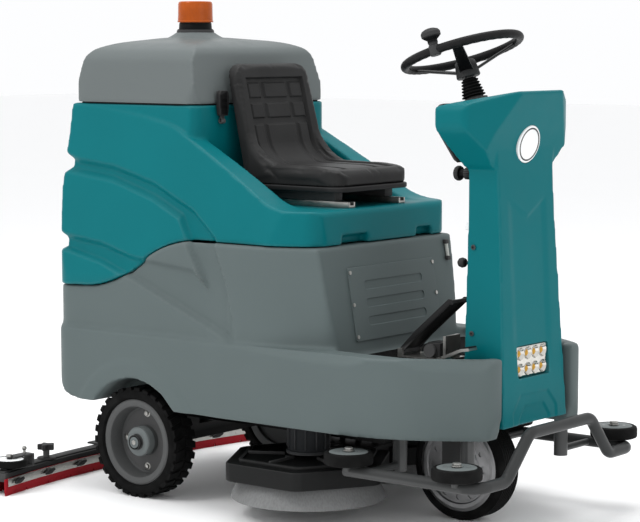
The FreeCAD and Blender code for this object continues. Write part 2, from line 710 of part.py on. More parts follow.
node("bumper_frame", worked(bumper_frame()))
node("lift_actuator", less(
    joined(
        rod(("deck_x", "0", "206"), "24", "138"),
        rod(("deck_x", "0", "249"), "33", "8"),
    ),
    rod(("deck_x", "0", "200"), "9 + fit", "136"),
))
knuckles = []
for across in (-170, 120):
    for end in (0, 38):
        knuckles.append(rod(("-body_back - 9", "%d" % (across + end), "seam_back"), "8", "12", "Y"))
    knuckles.append(rod(("-body_back - 9", str(across), "seam_back"), "4", "50", "Y"))
    knuckles.append(block(("-body_back - 5", str(across), "seam_back - 40"), ("5", "50", "30")))
    for end in (0, 38):
        knuckles.append(block(("-body_back - 13", "%d" % (across + end), "seam_back - 22"), ("8", "12", "18")))
node("hinge_brackets", joined(*knuckles))

# ---------------------------------------------------------------- recovery tank and lid


def tank_with_lugs():
    solid = recovery_tank()
    x, z = -v("body_back") - 9, v("seam_back")
    for across in (-170, 120):
        lug = round_bar((x, across + 12.4, z), 8, 25.2, "Y")
        lug = lug.fuse(box((x, across + 12.4, z + 1.2), (x + 22, across + 37.6, z + 8)))
        bored = round_bar((x, across, z), 4 + v("fit"), 50, "Y")
        solid = solid.fuse(lug.cut(bored))
    # lugs and pins for the lid, and the ears that the latch turns in
    x, z = -v("tank_back") - 8, v("tank_top") + 9
    for across in (-120, 80):
        for y in (across - 12.4, across + 40.4):
            solid = solid.fuse(round_bar((x, y, z), 6, 12, "Y")).fuse(box((x - 6, y, z - 26), (x + 6, y + 12, z)))
            solid = solid.fuse(box((x, y, z - 26), (x + 18, y + 12, z - 10)))
        solid = solid.fuse(round_bar((x, across - 10, z), 3, 60, "Y"))
    front, low = v("tank_front"), v("tank_top") - 53
    for y in (-193.4, -171.6):
        solid = solid.fuse(box((front - 1, y, low), (front + 22, y + 3, low + 16)))
    return solid.fuse(round_bar((front + 16, -193, low + 10), 3, 24, "Y"))


node("recovery_tank", worked(tank_with_lugs()))
node("vacuum_motor", joined(
    rod(("70", "0", "862 + wall"), "70", "56"),
    rod(("70", "0", "918 + wall"), "52", "70"),
    rod(("70", "0", "988 + wall"), "30", "12"),
))
rails = []
for across in ("seat_track - 14", "-seat_track - 14"):
    rails.append(block(("200", across, "deck_height"), ("360", "28", "16")))
node("seat_rails", joined(*rails))


def tank_lid():
    solid = lid_block(0, 0).cut(lid_block(v("wall"), 30))
    x, z = -v("tank_back") - 8, v("tank_top") + 9
    for across in (-120, 80):
        barrel = round_bar((x, across, z), 6, 40, "Y").fuse(box((x, across, z - 4), (x + 14, across + 40, z + 4)))
        solid = solid.fuse(barrel.cut(round_bar((x, across - 1, z), 3 + v("fit"), 42, "Y")))
    return solid


lid_top = "tank_top + 3 + lid_height"
node("tank_lid", worked(tank_lid()))
node("lid_seal", worked(lid_seal()))
node("beacon_base", joined(
    rod(("-75", "0", lid_top), "52.5", "9"),
    rod(("-75", "0", lid_top + " + 9"), "45.7", "18"),
))
node("beacon_lens", less(
    turned([("0", "0"), ("50", "0"), ("50", "6"), ("47.5", "10"), ("46", "52"), ("40", "59"), ("0", "59")]),
    rod(("0", "0", "-1"), "42", "54"),
), "-75", "0", lid_top + " + 27")
node("lid_latch", less(
    joined(
        rod(("tank_front + 16", "-190", "tank_top - 43"), "7", "18", "Y"),
        block(("tank_front + 12", "-188", "tank_top - 40"), ("8", "14", "77")),
        block(("tank_front + 2.4", "-188", "tank_top + 25"), ("17", "14", "12")),
    ),
    rod(("tank_front + 16", "-200", "tank_top - 43"), "3 + fit", "40", "Y"),
))

# ---------------------------------------------------------------- seat

pan = [
    block(("seat_back_x - 6", "-seat_half", "seat_bottom - 8"), ("seat_front - seat_back_x + 6", "2 * seat_half", "7.7")),
]
for across in ("seat_track - 17", "-seat_track - 17"):
    pan.append(block(("seat_back_x + 24", across, "deck_height + 16 + gap"), ("260", "34", "seat_bottom - 8 - deck_height - 16 - gap")))
node("seat_pan", joined(*pan))
node("seat_cushion", plate([
    ("seat_back_x + 30", "seat_bottom"), ("seat_front", "seat_bottom"),
    ("seat_front + 6", "seat_bottom + cushion_thick - 14"), ("seat_front - 8", "seat_bottom + cushion_thick"),
    ("seat_back_x + 26", "seat_bottom + cushion_thick - 6"),
], "2 * seat_half", "XZ_Plane", True))
node("seat_backrest", plate([
    ("seat_back_x - 16", "seat_bottom"), ("seat_back_x + 28", "seat_bottom"),
    ("seat_back_x - 38", "back_top"), ("seat_back_x - 38 - back_thick", "back_top"),
], "2 * seat_half", "XZ_Plane", True))

# ---------------------------------------------------------------- steering

spokes = []
rim_torus = document.addObject("Part::Torus", "rim")
bind(rim_torus, "Radius1", "steer_radius")
bind(rim_torus, "Radius2", "steer_rim")
for angle in (60, 180, 300):
    arm = document.addObject("Part::Cylinder", "spoke")
    bind(arm, "Radius", "7")
    bind(arm, "Height", "sqrt((steer_radius - 30) ^ 2 + 46 ^ 2)")
    climb = math.degrees(math.atan2(v("steer_radius") - 30, 46))
    turn = FreeCAD.Rotation(Vec(0, 0, 1), angle).multiply(FreeCAD.Rotation(Vec(0, 1, 0), climb))
    arm.Placement = FreeCAD.Placement(Vec(), turn)
    move(arm, "30 * cos(%d deg)" % angle, "30 * sin(%d deg)" % angle, "-46")
    spokes.append(arm)
KNOB_ANGLE = 278
knob_x = "steer_radius * cos(%d deg)" % KNOB_ANGLE
knob_y = "steer_radius * sin(%d deg)" % KNOB_ANGLE
node("steering_wheel", raked(joined(
    rim_torus, *spokes, rod((knob_x, knob_y, "-15"), "15", "28.6"),
    rod(("0", "0", "-64"), "36", "22"), rod(("0", "0", "-226"), "11", "170"),
)), *HUB)
knob = turned([("0", "14"), ("11", "14"), ("13", "20"), ("13", "26"), ("25", "34"), ("25", "46"), ("18", "54"), ("0", "56")])
move(knob, knob_x, knob_y, "0")
node("steering_knob", raked(joined(knob)), *HUB)

# ---------------------------------------------------------------- drive wheel

FORK = "fork_inside"
legs = []
for across in (FORK, "-%s - 10" % FORK):
    legs.append(block(("-34", across, "drive_radius - 34"), ("68", "10", "fork_top - drive_radius + 34 - 14")))
drive_fork = joined(
    rod(("0", "0", "fork_top - 14"), "78", "14"),
    rod(("0", "0", "fork_top"), "kingpin_radius", "72"),
    rod(("0", "0", "fork_top + 72.4"), "30", "6"),
    rod(("0", "0", "fork_top + 70"), "12", "6"),
    *legs,
    rod(("0", "-fork_inside - 10", "drive_radius"), "12", "2 * fork_inside + 20", "Y"),
)
node("drive_fork", drive_fork, "drive_x")
tread = "drive_half_width"
drive_tyre = turned([
    ("drive_hub_radius", "-" + tread), ("drive_radius - 9", "-" + tread), ("drive_radius", "9 - " + tread),
    ("drive_radius", tread + " - 9"), ("drive_radius - 9", tread), ("drive_hub_radius", tread),
], "Y")
node("drive_tyre", drive_tyre, "drive_x", "0", "drive_radius")
hub_body = turned([
    ("12 + fit", "-46"), ("30", "-46"), ("34", "-42"), ("102", "-42"), ("108", "-38"), ("drive_hub_radius", "-38"),
    ("drive_hub_radius", "38"), ("108", "38"), ("102", "42"), ("34", "42"), ("30", "46"), ("12 + fit", "46"),
], "Y")
vents = []
for n in range(6):
    vents.append(rod(("78 * cos(%d deg)" % (60 * n), "-60", "78 * sin(%d deg)" % (60 * n)), "9", "26", "Y"))
node("drive_hub", less(joined(hub_body), *vents), "drive_x", "0", "drive_radius")

# ---------------------------------------------------------------- pedals and hand controls

def pedal(across, wide, heel_x, heel_z, tread_line, thick):
    """A foot plate on a heel tube; the tread line is given from the heel, as (x, z) pairs."""
    line = [(x, z) for x, z in tread_line]
    below = [(x + thick * 0.4, z - thick) for x, z in reversed(tread_line)]
    outline = [(str(x), str(z)) for x, z in line + below]
    tread_plate = plate(outline, str(wide), "XZ_Plane", True)
    move(tread_plate, heel_x, str(across), heel_z)
    sleeve = ring((heel_x, str(across - wide / 2), heel_z), "8", "4 + fit", str(wide), "Y")
    bore = rod((heel_x, str(across - wide / 2 - 5), heel_z), "4 + fit", str(wide + 10), "Y")
    return less(joined(tread_plate, sleeve), bore)


node("accelerator_pedal", pedal(
    -103, 70, "742", "floor_top + 18", [(-3, 7), (40, 50), (146, 141), (153, 141)], 8))
node("brake_pedal", pedal(-180, 36, "904", "floor_top + 16", [(-3, 7), (60, 33), (84, 37)], 7))
node("emergency_stop", joined(
    rod(("column_back - 66", "-control_side", "stop_height"), "19", "16", "X"),
    rod(("column_back - 50", "-control_side", "stop_height"), "10", "40", "X"),
))
ball = turned([("0", "-13"), ("7", "-11"), ("11", "-7"), ("13", "0"), ("11", "7"), ("7", "11"), ("0", "13")], "X")
move(ball, "column_back - 44", "-control_side", "pull_height")
node("solution_knob", joined(ball, rod(("column_back - 44", "-control_side", "pull_height"), "4", "76", "X")))
node("key_switch", joined(
    rod(("column_back - 20", "-control_side", "key_height"), "10", "20.6", "X"),
    block(("column_back - 34", "-control_side - 3", "key_height - 9"), ("14", "6", "18")),
))

# ---------------------------------------------------------------- rear wheels

for side, across, flip in (("right", "-rear_wheel_inner", 1), ("left", "rear_wheel_inner", -1)):
    turn = FreeCAD.Rotation(Vec(1, 0, 0), 90 * flip)
    radius, wide = "rear_wheel_radius", "rear_wheel_width"
    tyre = turned([
        ("rim_radius", "8"), ("rim_radius + 5", "0"), (radius + " - 12", "0"), (radius, "11"),
        (radius, wide + " - 11"), (radius + " - 12", wide), ("rim_radius + 5", wide), ("rim_radius", wide + " - 8"),
    ])
    bore = "axle_radius + fit"
    rim = turned([
        (bore, "10"), (bore, wide + " - 12"), ("wheel_hub_radius", wide + " - 12"), ("wheel_hub_radius", "28"),
        ("94", "28"), ("94", wide + " - 6"), ("rim_radius", wide + " - 6"), ("rim_radius", "6"), ("94", "6"),
        ("94", "18"), ("wheel_hub_radius", "18"), ("wheel_hub_radius", "10"),
    ])
    bolts = []
    for n in range(4):
        angle = 45 + 90 * n
        bolts.append(rod((
            "wheel_bolt_circle * cos(%d deg)" % angle, "wheel_bolt_circle * sin(%d deg)" % angle, "27"), "7", "9"))
    for name, solid in (("tyre", tyre), ("rim", joined(rim, *bolts))):
        solid.Placement = FreeCAD.Placement(Vec(), turn)
        node("rear_%s_%s" % (name, side), solid, "0", across, radius)

# ---------------------------------------------------------------- brush deck


def hexagon(corner_radius, base, tall):
    solid = document.addObject("Part::Prism", "hexagon")
    solid.Polygon = 6
    bind(solid, "Circumradius", corner_radius)
    bind(solid, "Height", tall)
    return move(solid, *base)


shells, spaces = [], []
for across in ("-brush_offset", "brush_offset"):
    shells.append(hexagon("deck_radius * 1.1547", ("deck_x", across, "deck_top - deck_depth"), "deck_depth"))
    spaces.append(hexagon("(deck_radius - 4) * 1.1547", ("deck_x", across, "deck_top - deck_depth - 1"), "deck_depth - 3"))
    spaces.append(rod(("deck_x", across, "deck_top - 20"), "13", "40"))
bridge = block(("deck_x - 90", "-70", "deck_top - 26"), ("180", "140", "26"))
rods = [rod(("deck_x", "0", "deck_top - 4"), "9", "150")]
for along in ("-55", "55"):
    rods.append(rod(("deck_x + (%s)" % along, "0", "deck_top - 4"), "8", "116"))
node("brush_deck", joined(less(joined(*shells, bridge), *spaces), *rods))
motors = []
for across in ("-brush_offset", "brush_offset"):
    motors.append(rod(("deck_x", across, "deck_top"), "58", "96"))
    motors.append(rod(("deck_x", across, "deck_top + 96"), "46", "20"))
node("brush_motors", joined(*motors))
for side, across in (("right", "-brush_offset"), ("left", "brush_offset")):
    bristles = turned([
        ("88", "0"), ("brush_radius", "0"), ("brush_radius - 6", "16"), ("brush_radius - 24", "brush_height"),
        ("70", "brush_height"),
    ])
    carrier = turned([
        ("0", "brush_height"), ("brush_radius - 26", "brush_height"), ("brush_radius - 28", "brush_height + 20"),
        ("36", "brush_height + 22"), ("30", "brush_height + 40"), ("0", "brush_height + 40"),
    ])
    move(bristles, "0", "0", "0")
    spindle = rod(("0", "0", "brush_height + 40"), "11", "deck_top - lift - brush_height - 40")
    node("brush_" + side, joined(bristles, carrier, spindle), "deck_x", across, "lift")

# ---------------------------------------------------------------- squeegee


def bow(inner, outer, low, high, half):
    """A strip bent along the squeegee's arc; inner and outer are offsets behind the front blade."""
    bend, front = v("squeegee_bend"), v("squeegee_x")
    centre = Vec(bend - front, 0, low)
    edges = []
    for offset in (inner, outer):
        radius = bend + offset
        angle = math.asin(half / bend)
        points = []
        for share in (-1, 0, 1):
            points.append(centre + Vec(-radius * math.cos(angle * share), radius * math.sin(angle * share), 0))
        edges.append(points)
    wire = Part.Wire([
        Part.Arc(*edges[0]).toShape(), Part.LineSegment(edges[0][2], edges[1][2]).toShape(),
        Part.Arc(*reversed(edges[1])).toShape(), Part.LineSegment(edges[1][0], edges[0][0]).toShape(),
    ])
    return Part.Face(wire).extrude(Vec(0, 0, high - low))


def squeegee_beam():
    thick, high, depth, half = v("blade_thick"), v("blade_height"), v("beam_depth"), v("squeegee_half")
    solid = bow(thick, depth - thick, high - 10, high + 18, half - 6)
    solid = solid.cut(bow(thick + 5, depth - thick - 5, high - 20, high + 12, half - 14))
    port = round_bar((-v("squeegee_x") - depth / 2, 0, high + 10), 24, 60, "Z")
    solid = solid.fuse(port).cut(round_bar((-v("squeegee_x") - depth / 2, 0, high), 20, 90, "Z"))
    for side in (-1, 1):
        y = side * (half - 58)
        x = -v("squeegee_x") - depth / 2 + (half - 58) ** 2 / (2 * v("squeegee_bend"))
        arm = box((x - 16, min(y, y + side * 14), high + 18), (x + 16, max(y, y + side * 14), high + 22))
        stem = round_bar((x, y, high + 18), 7, 34, "Z")
        solid = solid.fuse(arm).fuse(stem)
    return solid


def blades():
    thick, high, depth, half = v("blade_thick"), v("blade_height"), v("beam_depth"), v("squeegee_half")
    return Part.makeCompound([
        bow(0, thick, 0, high, half), bow(depth - thick, depth, 0, high, half - 8),
    ])


def straps():
    """The steel strips that hold the two blades, and the wing clamps along the front one."""
    high, depth, half, bend = v("blade_height"), v("beam_depth"), v("squeegee_half"), v("squeegee_bend")
    front = -v("squeegee_x")
    group = [bow(-2.6, -0.1, high - 20, high, half - 10), bow(depth + 0.1, depth + 2.6, high - 20, high, half - 18)]
    for n in range(8):
        angle = math.degrees(math.asin(half / bend)) * (n / 7 * 1.8 - 0.9)
        wing = box((front + 2.6, -15, high - 17), (front + 9, 15, high - 3))
        wing.rotate(Vec(front + bend, 0, 0), Vec(0, 0, 1), angle)
        group.append(wing)
    return Part.makeCompound(group)


node("squeegee_beam", worked(squeegee_beam()))
node("squeegee_blades", worked(blades()))
node("squeegee_straps", worked(straps()))
HINGE_X, HINGE_Z = "-230", "142"
node("swing_bracket", less(
    joined(
        rod(("-swing_x", "0", "158"), "30", "24"),
        block(("-232", "-28", "164"), ("162", "56", "14")),
        block(("-246", "-34", "132"), ("34", "8", "46")),
        block(("-246", "26", "132"), ("34", "8", "46")),
        rod((HINGE_X, "-52", HINGE_Z), "6", "104", "Y"),
    ),
    rod(("-swing_x", "0", "140"), "10 + fit", "60"),
))
arm_sides = []
for across in ("-46", "38"):
    side_plate = plate([
        ("0", "12"), ("10", "0"), ("0", "-12"), ("-108", "-76"), ("-196", "-76"), ("-196", "-66"), ("-110", "-66"),
    ], "8", "XZ_Plane", False)
    move(side_plate, HINGE_X, "%s + 8" % across, HINGE_Z)
    arm_sides.append(side_plate)
node("squeegee_arm", less(
    joined(
        *arm_sides,
        block(("-414", "-100", "blade_height + 18"), ("84", "200", "5")),
    ),
    rod((HINGE_X, "-60", HINGE_Z), "6 + fit", "120", "Y"),
    rod(("-squeegee_x - beam_depth / 2", "0", "60"), "26", "30"),
))
for side, sign in (("right", -1), ("left", 1)):
    roller = less(
        turned([("0", "0"), ("end_roller_radius - 3", "0"), ("end_roller_radius", "3"),
                ("end_roller_radius", "17"), ("end_roller_radius - 3", "20"), ("0", "20")]),
        rod(("0", "0", "-5"), "7 + fit", "40"),
    )
    reach = "%d * (squeegee_half - 58)" % sign
    station = "-squeegee_x - beam_depth / 2 + (squeegee_half - 58) ^ 2 / (2 * squeegee_bend)"
    node("end_roller_" + side, roller, station, reach, "blade_height + 24")

# ---------------------------------------------------------------- bumper rollers

for side, sign in (("right", -1), ("left", 1)):
    for end in ("front", "rear"):
        roller = less(
            turned([
                ("0", "0"), ("roller_radius - 4", "0"), ("roller_radius", "4"), ("roller_radius", "roller_thick - 6"),
                ("roller_radius - 6", "roller_thick"), ("0", "roller_thick"),
            ]),
            rod(("0", "0", "-5"), "8 + fit", "60"),
        )
        node("roller_%s_%s" % (end, side), roller,
             "%s_roller_x" % end, "%d * (bumper_half + 4)" % sign, "roller_bottom")

document.recompute()
failed = [thing.Label for thing in document.Objects if {"Invalid", "Error"} & set(thing.State)]
failed += [label for label, thing in pieces.items() if thing.Shape.isNull() or not thing.Shape.isValid()]
if failed:
    raise SystemExit("these did not build: " + ", ".join(failed))

os.makedirs("parts", exist_ok=True)
for label, thing in pieces.items():
    thing.Shape.exportStep("parts/%s.step" % label)
print(len(pieces), "nodes,", sum(len(thing.Shape.Solids) for thing in pieces.values()), "solids")
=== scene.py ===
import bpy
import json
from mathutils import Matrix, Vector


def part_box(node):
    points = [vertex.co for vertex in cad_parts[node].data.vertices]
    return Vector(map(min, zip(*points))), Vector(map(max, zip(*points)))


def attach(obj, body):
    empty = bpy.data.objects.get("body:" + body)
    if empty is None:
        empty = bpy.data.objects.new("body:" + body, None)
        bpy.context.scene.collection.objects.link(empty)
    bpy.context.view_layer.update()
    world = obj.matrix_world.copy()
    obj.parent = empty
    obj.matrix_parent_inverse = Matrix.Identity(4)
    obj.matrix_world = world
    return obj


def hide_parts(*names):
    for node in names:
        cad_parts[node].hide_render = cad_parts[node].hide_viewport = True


bl_info = {
    "name": "Ride-on Floor Scrubber",
    "version": (1, 0, 0),
    "blender": (4, 5, 0),
    "location": "3D View > Sidebar > Scrubber",
    "description": "Builds the skins, wheels, brushes, squeegee and finishes of a ride-on floor scrubber",
    "category": "Object",
}

import json
import math

import bmesh
import bpy
import numpy as np
from mathutils import Matrix, Vector

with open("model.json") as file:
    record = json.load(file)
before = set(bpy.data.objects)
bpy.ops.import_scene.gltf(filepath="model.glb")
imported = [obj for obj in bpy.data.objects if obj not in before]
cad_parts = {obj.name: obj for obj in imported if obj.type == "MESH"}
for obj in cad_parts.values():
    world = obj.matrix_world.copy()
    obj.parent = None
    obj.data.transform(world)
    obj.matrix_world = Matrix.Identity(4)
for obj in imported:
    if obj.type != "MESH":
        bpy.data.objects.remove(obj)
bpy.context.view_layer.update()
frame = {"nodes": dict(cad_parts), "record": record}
NODES = frame["nodes"]
AXLE = (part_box("rear_rim_right")[0].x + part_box("rear_rim_right")[1].x) * 500
MM = 0.001
WHEEL_HEIGHT = 150          # the rear axle's centre above the floor
DRIVE = (850, 0, 140)       # the drive wheel's centre
DECK_X, BRUSH_Y = 499.5, 215
BADGE = (1031, 0, 973)
HAND = -84                  # the column's hand controls stand right of its middle
PORT_X = -374               # the squeegee's hose port
END_ROLLER_Y, STAR_Y = 496, 330
RAIL_Y = 110                # the seat's two rails


def spot(x, y, z):
    """A place in the machine's frame from millimetres ahead of the rear axle."""
    return Vector(((AXLE + x) * MM, y * MM, z * MM))


# ---------------------------------------------------------------- finishes

def paint(code):
    """An sRGB hex value as a linear colour."""
    parts = [int(code[i:i + 2], 16) / 255 for i in (1, 3, 5)]
    return [c / 12.92 if c <= 0.04045 else ((c + 0.055) / 1.055) ** 2.4 for c in parts] + [1.0]


def add(tree, kind, links=(), **settings):
    """Add a shader node: links are (socket name, source socket) pairs, settings are sockets or properties."""
    piece = tree.nodes.new(kind)
    for key, value in settings.items():
        if hasattr(piece, key):
            setattr(piece, key, value)
        else:
            piece.inputs[key.replace("_", " ")].default_value = value
    for socket, source in links:
        tree.links.new(piece.inputs[socket], source)
    return piece


def blank(name):
    """A new material with its node tree and its shader."""
    made = bpy.data.materials.new(name)
    made.use_nodes = True
    shader = made.node_tree.nodes["Principled BSDF"]
    # fine texture on every skin scatters the sheen, so less of it shows than on polished plastic
    shader.inputs["Specular IOR Level"].default_value = 0.1
    return made, made.node_tree, shader


def mottled(tree, place, code, low, patch_mm):
    """The colour, drifting by a small share over patches of the given size."""
    cloud = add(tree, "ShaderNodeTexNoise", [("Vector", place)], Scale=1000 / patch_mm, Detail=3.0)
    ramp = add(tree, "ShaderNodeValToRGB", [("Fac", cloud.outputs["Fac"])])
    full = paint(code)
    ramp.color_ramp.elements[0].position, ramp.color_ramp.elements[1].position = 0.3, 0.7
    ramp.color_ramp.elements[0].color = [c * low for c in full[:3]] + [1.0]
    ramp.color_ramp.elements[1].color = full
    return ramp.outputs["Color"]


def rubbed_and_lit_edges(tree, colour, rub_and_highlight):
    """Painted edge highlight, partly rubbing wear: the colour lifts towards pale grey where the skin is sharply
    convex, for corners that hands and boots rub and that catch the light.
    """
    form = add(tree, "ShaderNodeNewGeometry")
    edge = add(tree, "ShaderNodeMapRange", [("Value", form.outputs["Pointiness"])],
               From_Min=0.52, From_Max=0.6, To_Min=0.0, To_Max=rub_and_highlight)
    mix = add(tree, "ShaderNodeMix", data_type="RGBA")
    tree.links.new(mix.inputs["Factor"], edge.outputs["Result"])
    tree.links.new(mix.inputs["A"], colour)
    # the pale grey that sharp corners lift towards: a painted highlight as well as rubbed wear
    mix.inputs["B"].default_value = (0.62, 0.62, 0.62, 1.0)
    return mix.outputs["Result"]


def moulded(name, code, rough, grain_mm=4.0, low=0.93, rub_and_highlight=0.05, coat=0.0, bump=0.12):
    """Rotationally moulded polyethylene and injection-moulded plastics: soft orange peel, a broad sheen."""
    made, tree, shader = blank(name)
    place = add(tree, "ShaderNodeTexCoord").outputs["Object"]
    # convex edges are lightened: partly rubbing wear, partly a painted edge highlight
    colour = rubbed_and_lit_edges(tree, mottled(tree, place, code, low, 240.0), rub_and_highlight)
    tree.links.new(shader.inputs["Base Color"], colour)
    # the real grain is about 0.5 mm; it is drawn coarser so that it shows
    peel = add(tree, "ShaderNodeTexNoise", [("Vector", place)], Scale=1000 / grain_mm, Detail=2.0)
    lift = add(tree, "ShaderNodeBump", [("Height", peel.outputs["Fac"])], Strength=bump, Distance=0.0006)
    tree.links.new(shader.inputs["Normal"], lift.outputs["Normal"])
    scuff = add(tree, "ShaderNodeTexNoise", [("Vector", place)], Scale=1000 / 60.0, Detail=6.0)
    dull = add(tree, "ShaderNodeMapRange", [("Value", scuff.outputs["Fac"])],
               From_Min=0.3, From_Max=0.7, To_Min=rough - 0.05, To_Max=rough + 0.07)
    tree.links.new(shader.inputs["Roughness"], dull.outputs["Result"])
    shader.inputs["IOR"].default_value = 1.5
    shader.inputs["Coat Weight"].default_value = coat
    return made


def rubbery(name, code, rough=0.75, grain_mm=3.0, dust=0.05):
    """Vulcanised rubber: nearly black, dull, with pale dust held in the pores."""
    made, tree, shader = blank(name)
    place = add(tree, "ShaderNodeTexCoord").outputs["Object"]
    pores = add(tree, "ShaderNodeTexNoise", [("Vector", place)], Scale=1000 / grain_mm, Detail=4.0)
    drift = add(tree, "ShaderNodeTexNoise", [("Vector", place)], Scale=1000 / 45.0, Detail=4.0)
    ramp = add(tree, "ShaderNodeValToRGB", [("Fac", drift.outputs["Fac"])])
    base = paint(code)
    ramp.color_ramp.elements[0].position, ramp.color_ramp.elements[1].position = 0.45, 0.8
    ramp.color_ramp.elements[0].color = base
    ramp.color_ramp.elements[1].color = [c + dust * 0.12 for c in base[:3]] + [1.0]
    tree.links.new(shader.inputs["Base Color"], ramp.outputs["Color"])
    lift = add(tree, "ShaderNodeBump", [("Height", pores.outputs["Fac"])], Strength=0.25, Distance=0.0005)
    tree.links.new(shader.inputs["Normal"], lift.outputs["Normal"])
    shader.inputs["Roughness"].default_value = rough
    shader.inputs["IOR"].default_value = 1.52
    return made


def metal(name, code, rough, brushed_mm=0.0, axis=2):
    """Zinc-plated or machined steel: cool, with a fine directional or clouded finish."""
    made, tree, shader = blank(name)
    place = add(tree, "ShaderNodeTexCoord").outputs["Object"]
    stretch = add(tree, "ShaderNodeMapping", [("Vector", place)])
    if brushed_mm:
        scale = [0.06, 0.06, 0.06]
        scale[axis] = 1.0
        stretch.inputs["Scale"].default_value = scale
    lines = add(tree, "ShaderNodeTexNoise", [("Vector", stretch.outputs["Vector"])],
                Scale=1000 / (brushed_mm or 18.0), Detail=5.0)
    tree.links.new(shader.inputs["Base Color"], mottled(tree, place, code, 0.82, 30.0))
    dull = add(tree, "ShaderNodeMapRange", [("Value", lines.outputs["Fac"])],
               From_Min=0.25, From_Max=0.75, To_Min=rough - 0.08, To_Max=rough + 0.12)
    tree.links.new(shader.inputs["Roughness"], dull.outputs["Result"])
    shader.inputs["Metallic"].default_value = 1.0
    return made


def coated(name, code, rough, grit_mm=2.5):
    """Powder-coated steel: an even skin with a fine pebble and a satin sheen."""
    made, tree, shader = blank(name)
    place = add(tree, "ShaderNodeTexCoord").outputs["Object"]
    # convex edges are lightened: partly rubbing wear, partly a painted edge highlight
    tree.links.new(shader.inputs["Base Color"], rubbed_and_lit_edges(tree, mottled(tree, place, code, 0.88, 90.0), 0.08))
    pebble = add(tree, "ShaderNodeTexVoronoi", [("Vector", place)], Scale=1000 / grit_mm)
    lift = add(tree, "ShaderNodeBump", [("Height", pebble.outputs["Distance"])], Strength=0.08, Distance=0.0004)
    tree.links.new(shader.inputs["Normal"], lift.outputs["Normal"])
    shader.inputs["Roughness"].default_value = rough
    return made


def upholstery(name, code):
    """Integral-skin polyurethane foam: a leathery grain and a low, greasy sheen."""
    made, tree, shader = blank(name)
    place = add(tree, "ShaderNodeTexCoord").outputs["Object"]
    tree.links.new(shader.inputs["Base Color"], mottled(tree, place, code, 0.8, 70.0))
    # leather grain of about 3 mm, drawn at 5 mm so that it shows
    cells = add(tree, "ShaderNodeTexVoronoi", [("Vector", place)], feature="DISTANCE_TO_EDGE", Scale=1000 / 5.0)
    lift = add(tree, "ShaderNodeBump", [("Height", cells.outputs["Distance"])], Strength=0.25, Distance=0.0006)
    tree.links.new(shader.inputs["Normal"], lift.outputs["Normal"])
    shader.inputs["Roughness"].default_value = 0.46
    shader.inputs["IOR"].default_value = 1.5
    return made


def polycarbonate(name, code, clear):
    """Tinted polycarbonate: glossy, with light passing through its wall."""
    made, tree, shader = blank(name)
    place = add(tree, "ShaderNodeTexCoord").outputs["Object"]
    tree.links.new(shader.inputs["Base Color"], mottled(tree, place, code, 0.85, 20.0))
    shader.inputs["Roughness"].default_value = 0.16
    shader.inputs["IOR"].default_value = 1.58
    shader.inputs["Transmission Weight"].default_value = clear
    return made


def bristled(name, code):
    """Polypropylene bristles: pale upright strands with dark gaps."""
    made, tree, shader = blank(name)
    place = add(tree, "ShaderNodeTexCoord").outputs["Object"]
    squeeze = add(tree, "ShaderNodeMapping", [("Vector", place)])
    squeeze.inputs["Scale"].default_value = (1.0, 1.0, 0.04)
    # bristles are 0.8 mm thick; tufts of 4 mm are drawn
    tufts = add(tree, "ShaderNodeTexNoise", [("Vector", squeeze.outputs["Vector"])], Scale=1000 / 4.0,
            Detail=3.0)
    ramp = add(tree, "ShaderNodeValToRGB", [("Fac", tufts.outputs["Fac"])])
    full = paint(code)
    ramp.color_ramp.elements[0].position, ramp.color_ramp.elements[1].position = 0.35, 0.6
    ramp.color_ramp.elements[0].color = [c * 0.84 for c in full[:3]] + [1.0]
    ramp.color_ramp.elements[1].color = full
    tree.links.new(shader.inputs["Base Color"], ramp.outputs["Color"])
    lift = add(tree, "ShaderNodeBump", [("Height", tufts.outputs["Fac"])], Strength=0.2, Distance=0.001)
    tree.links.new(shader.inputs["Normal"], lift.outputs["Normal"])
    shader.inputs["Roughness"].default_value = 0.7
    return made


FINISHES = {}


def finish(slot):
    """The finish made for a slot."""
    return FINISHES[slot]


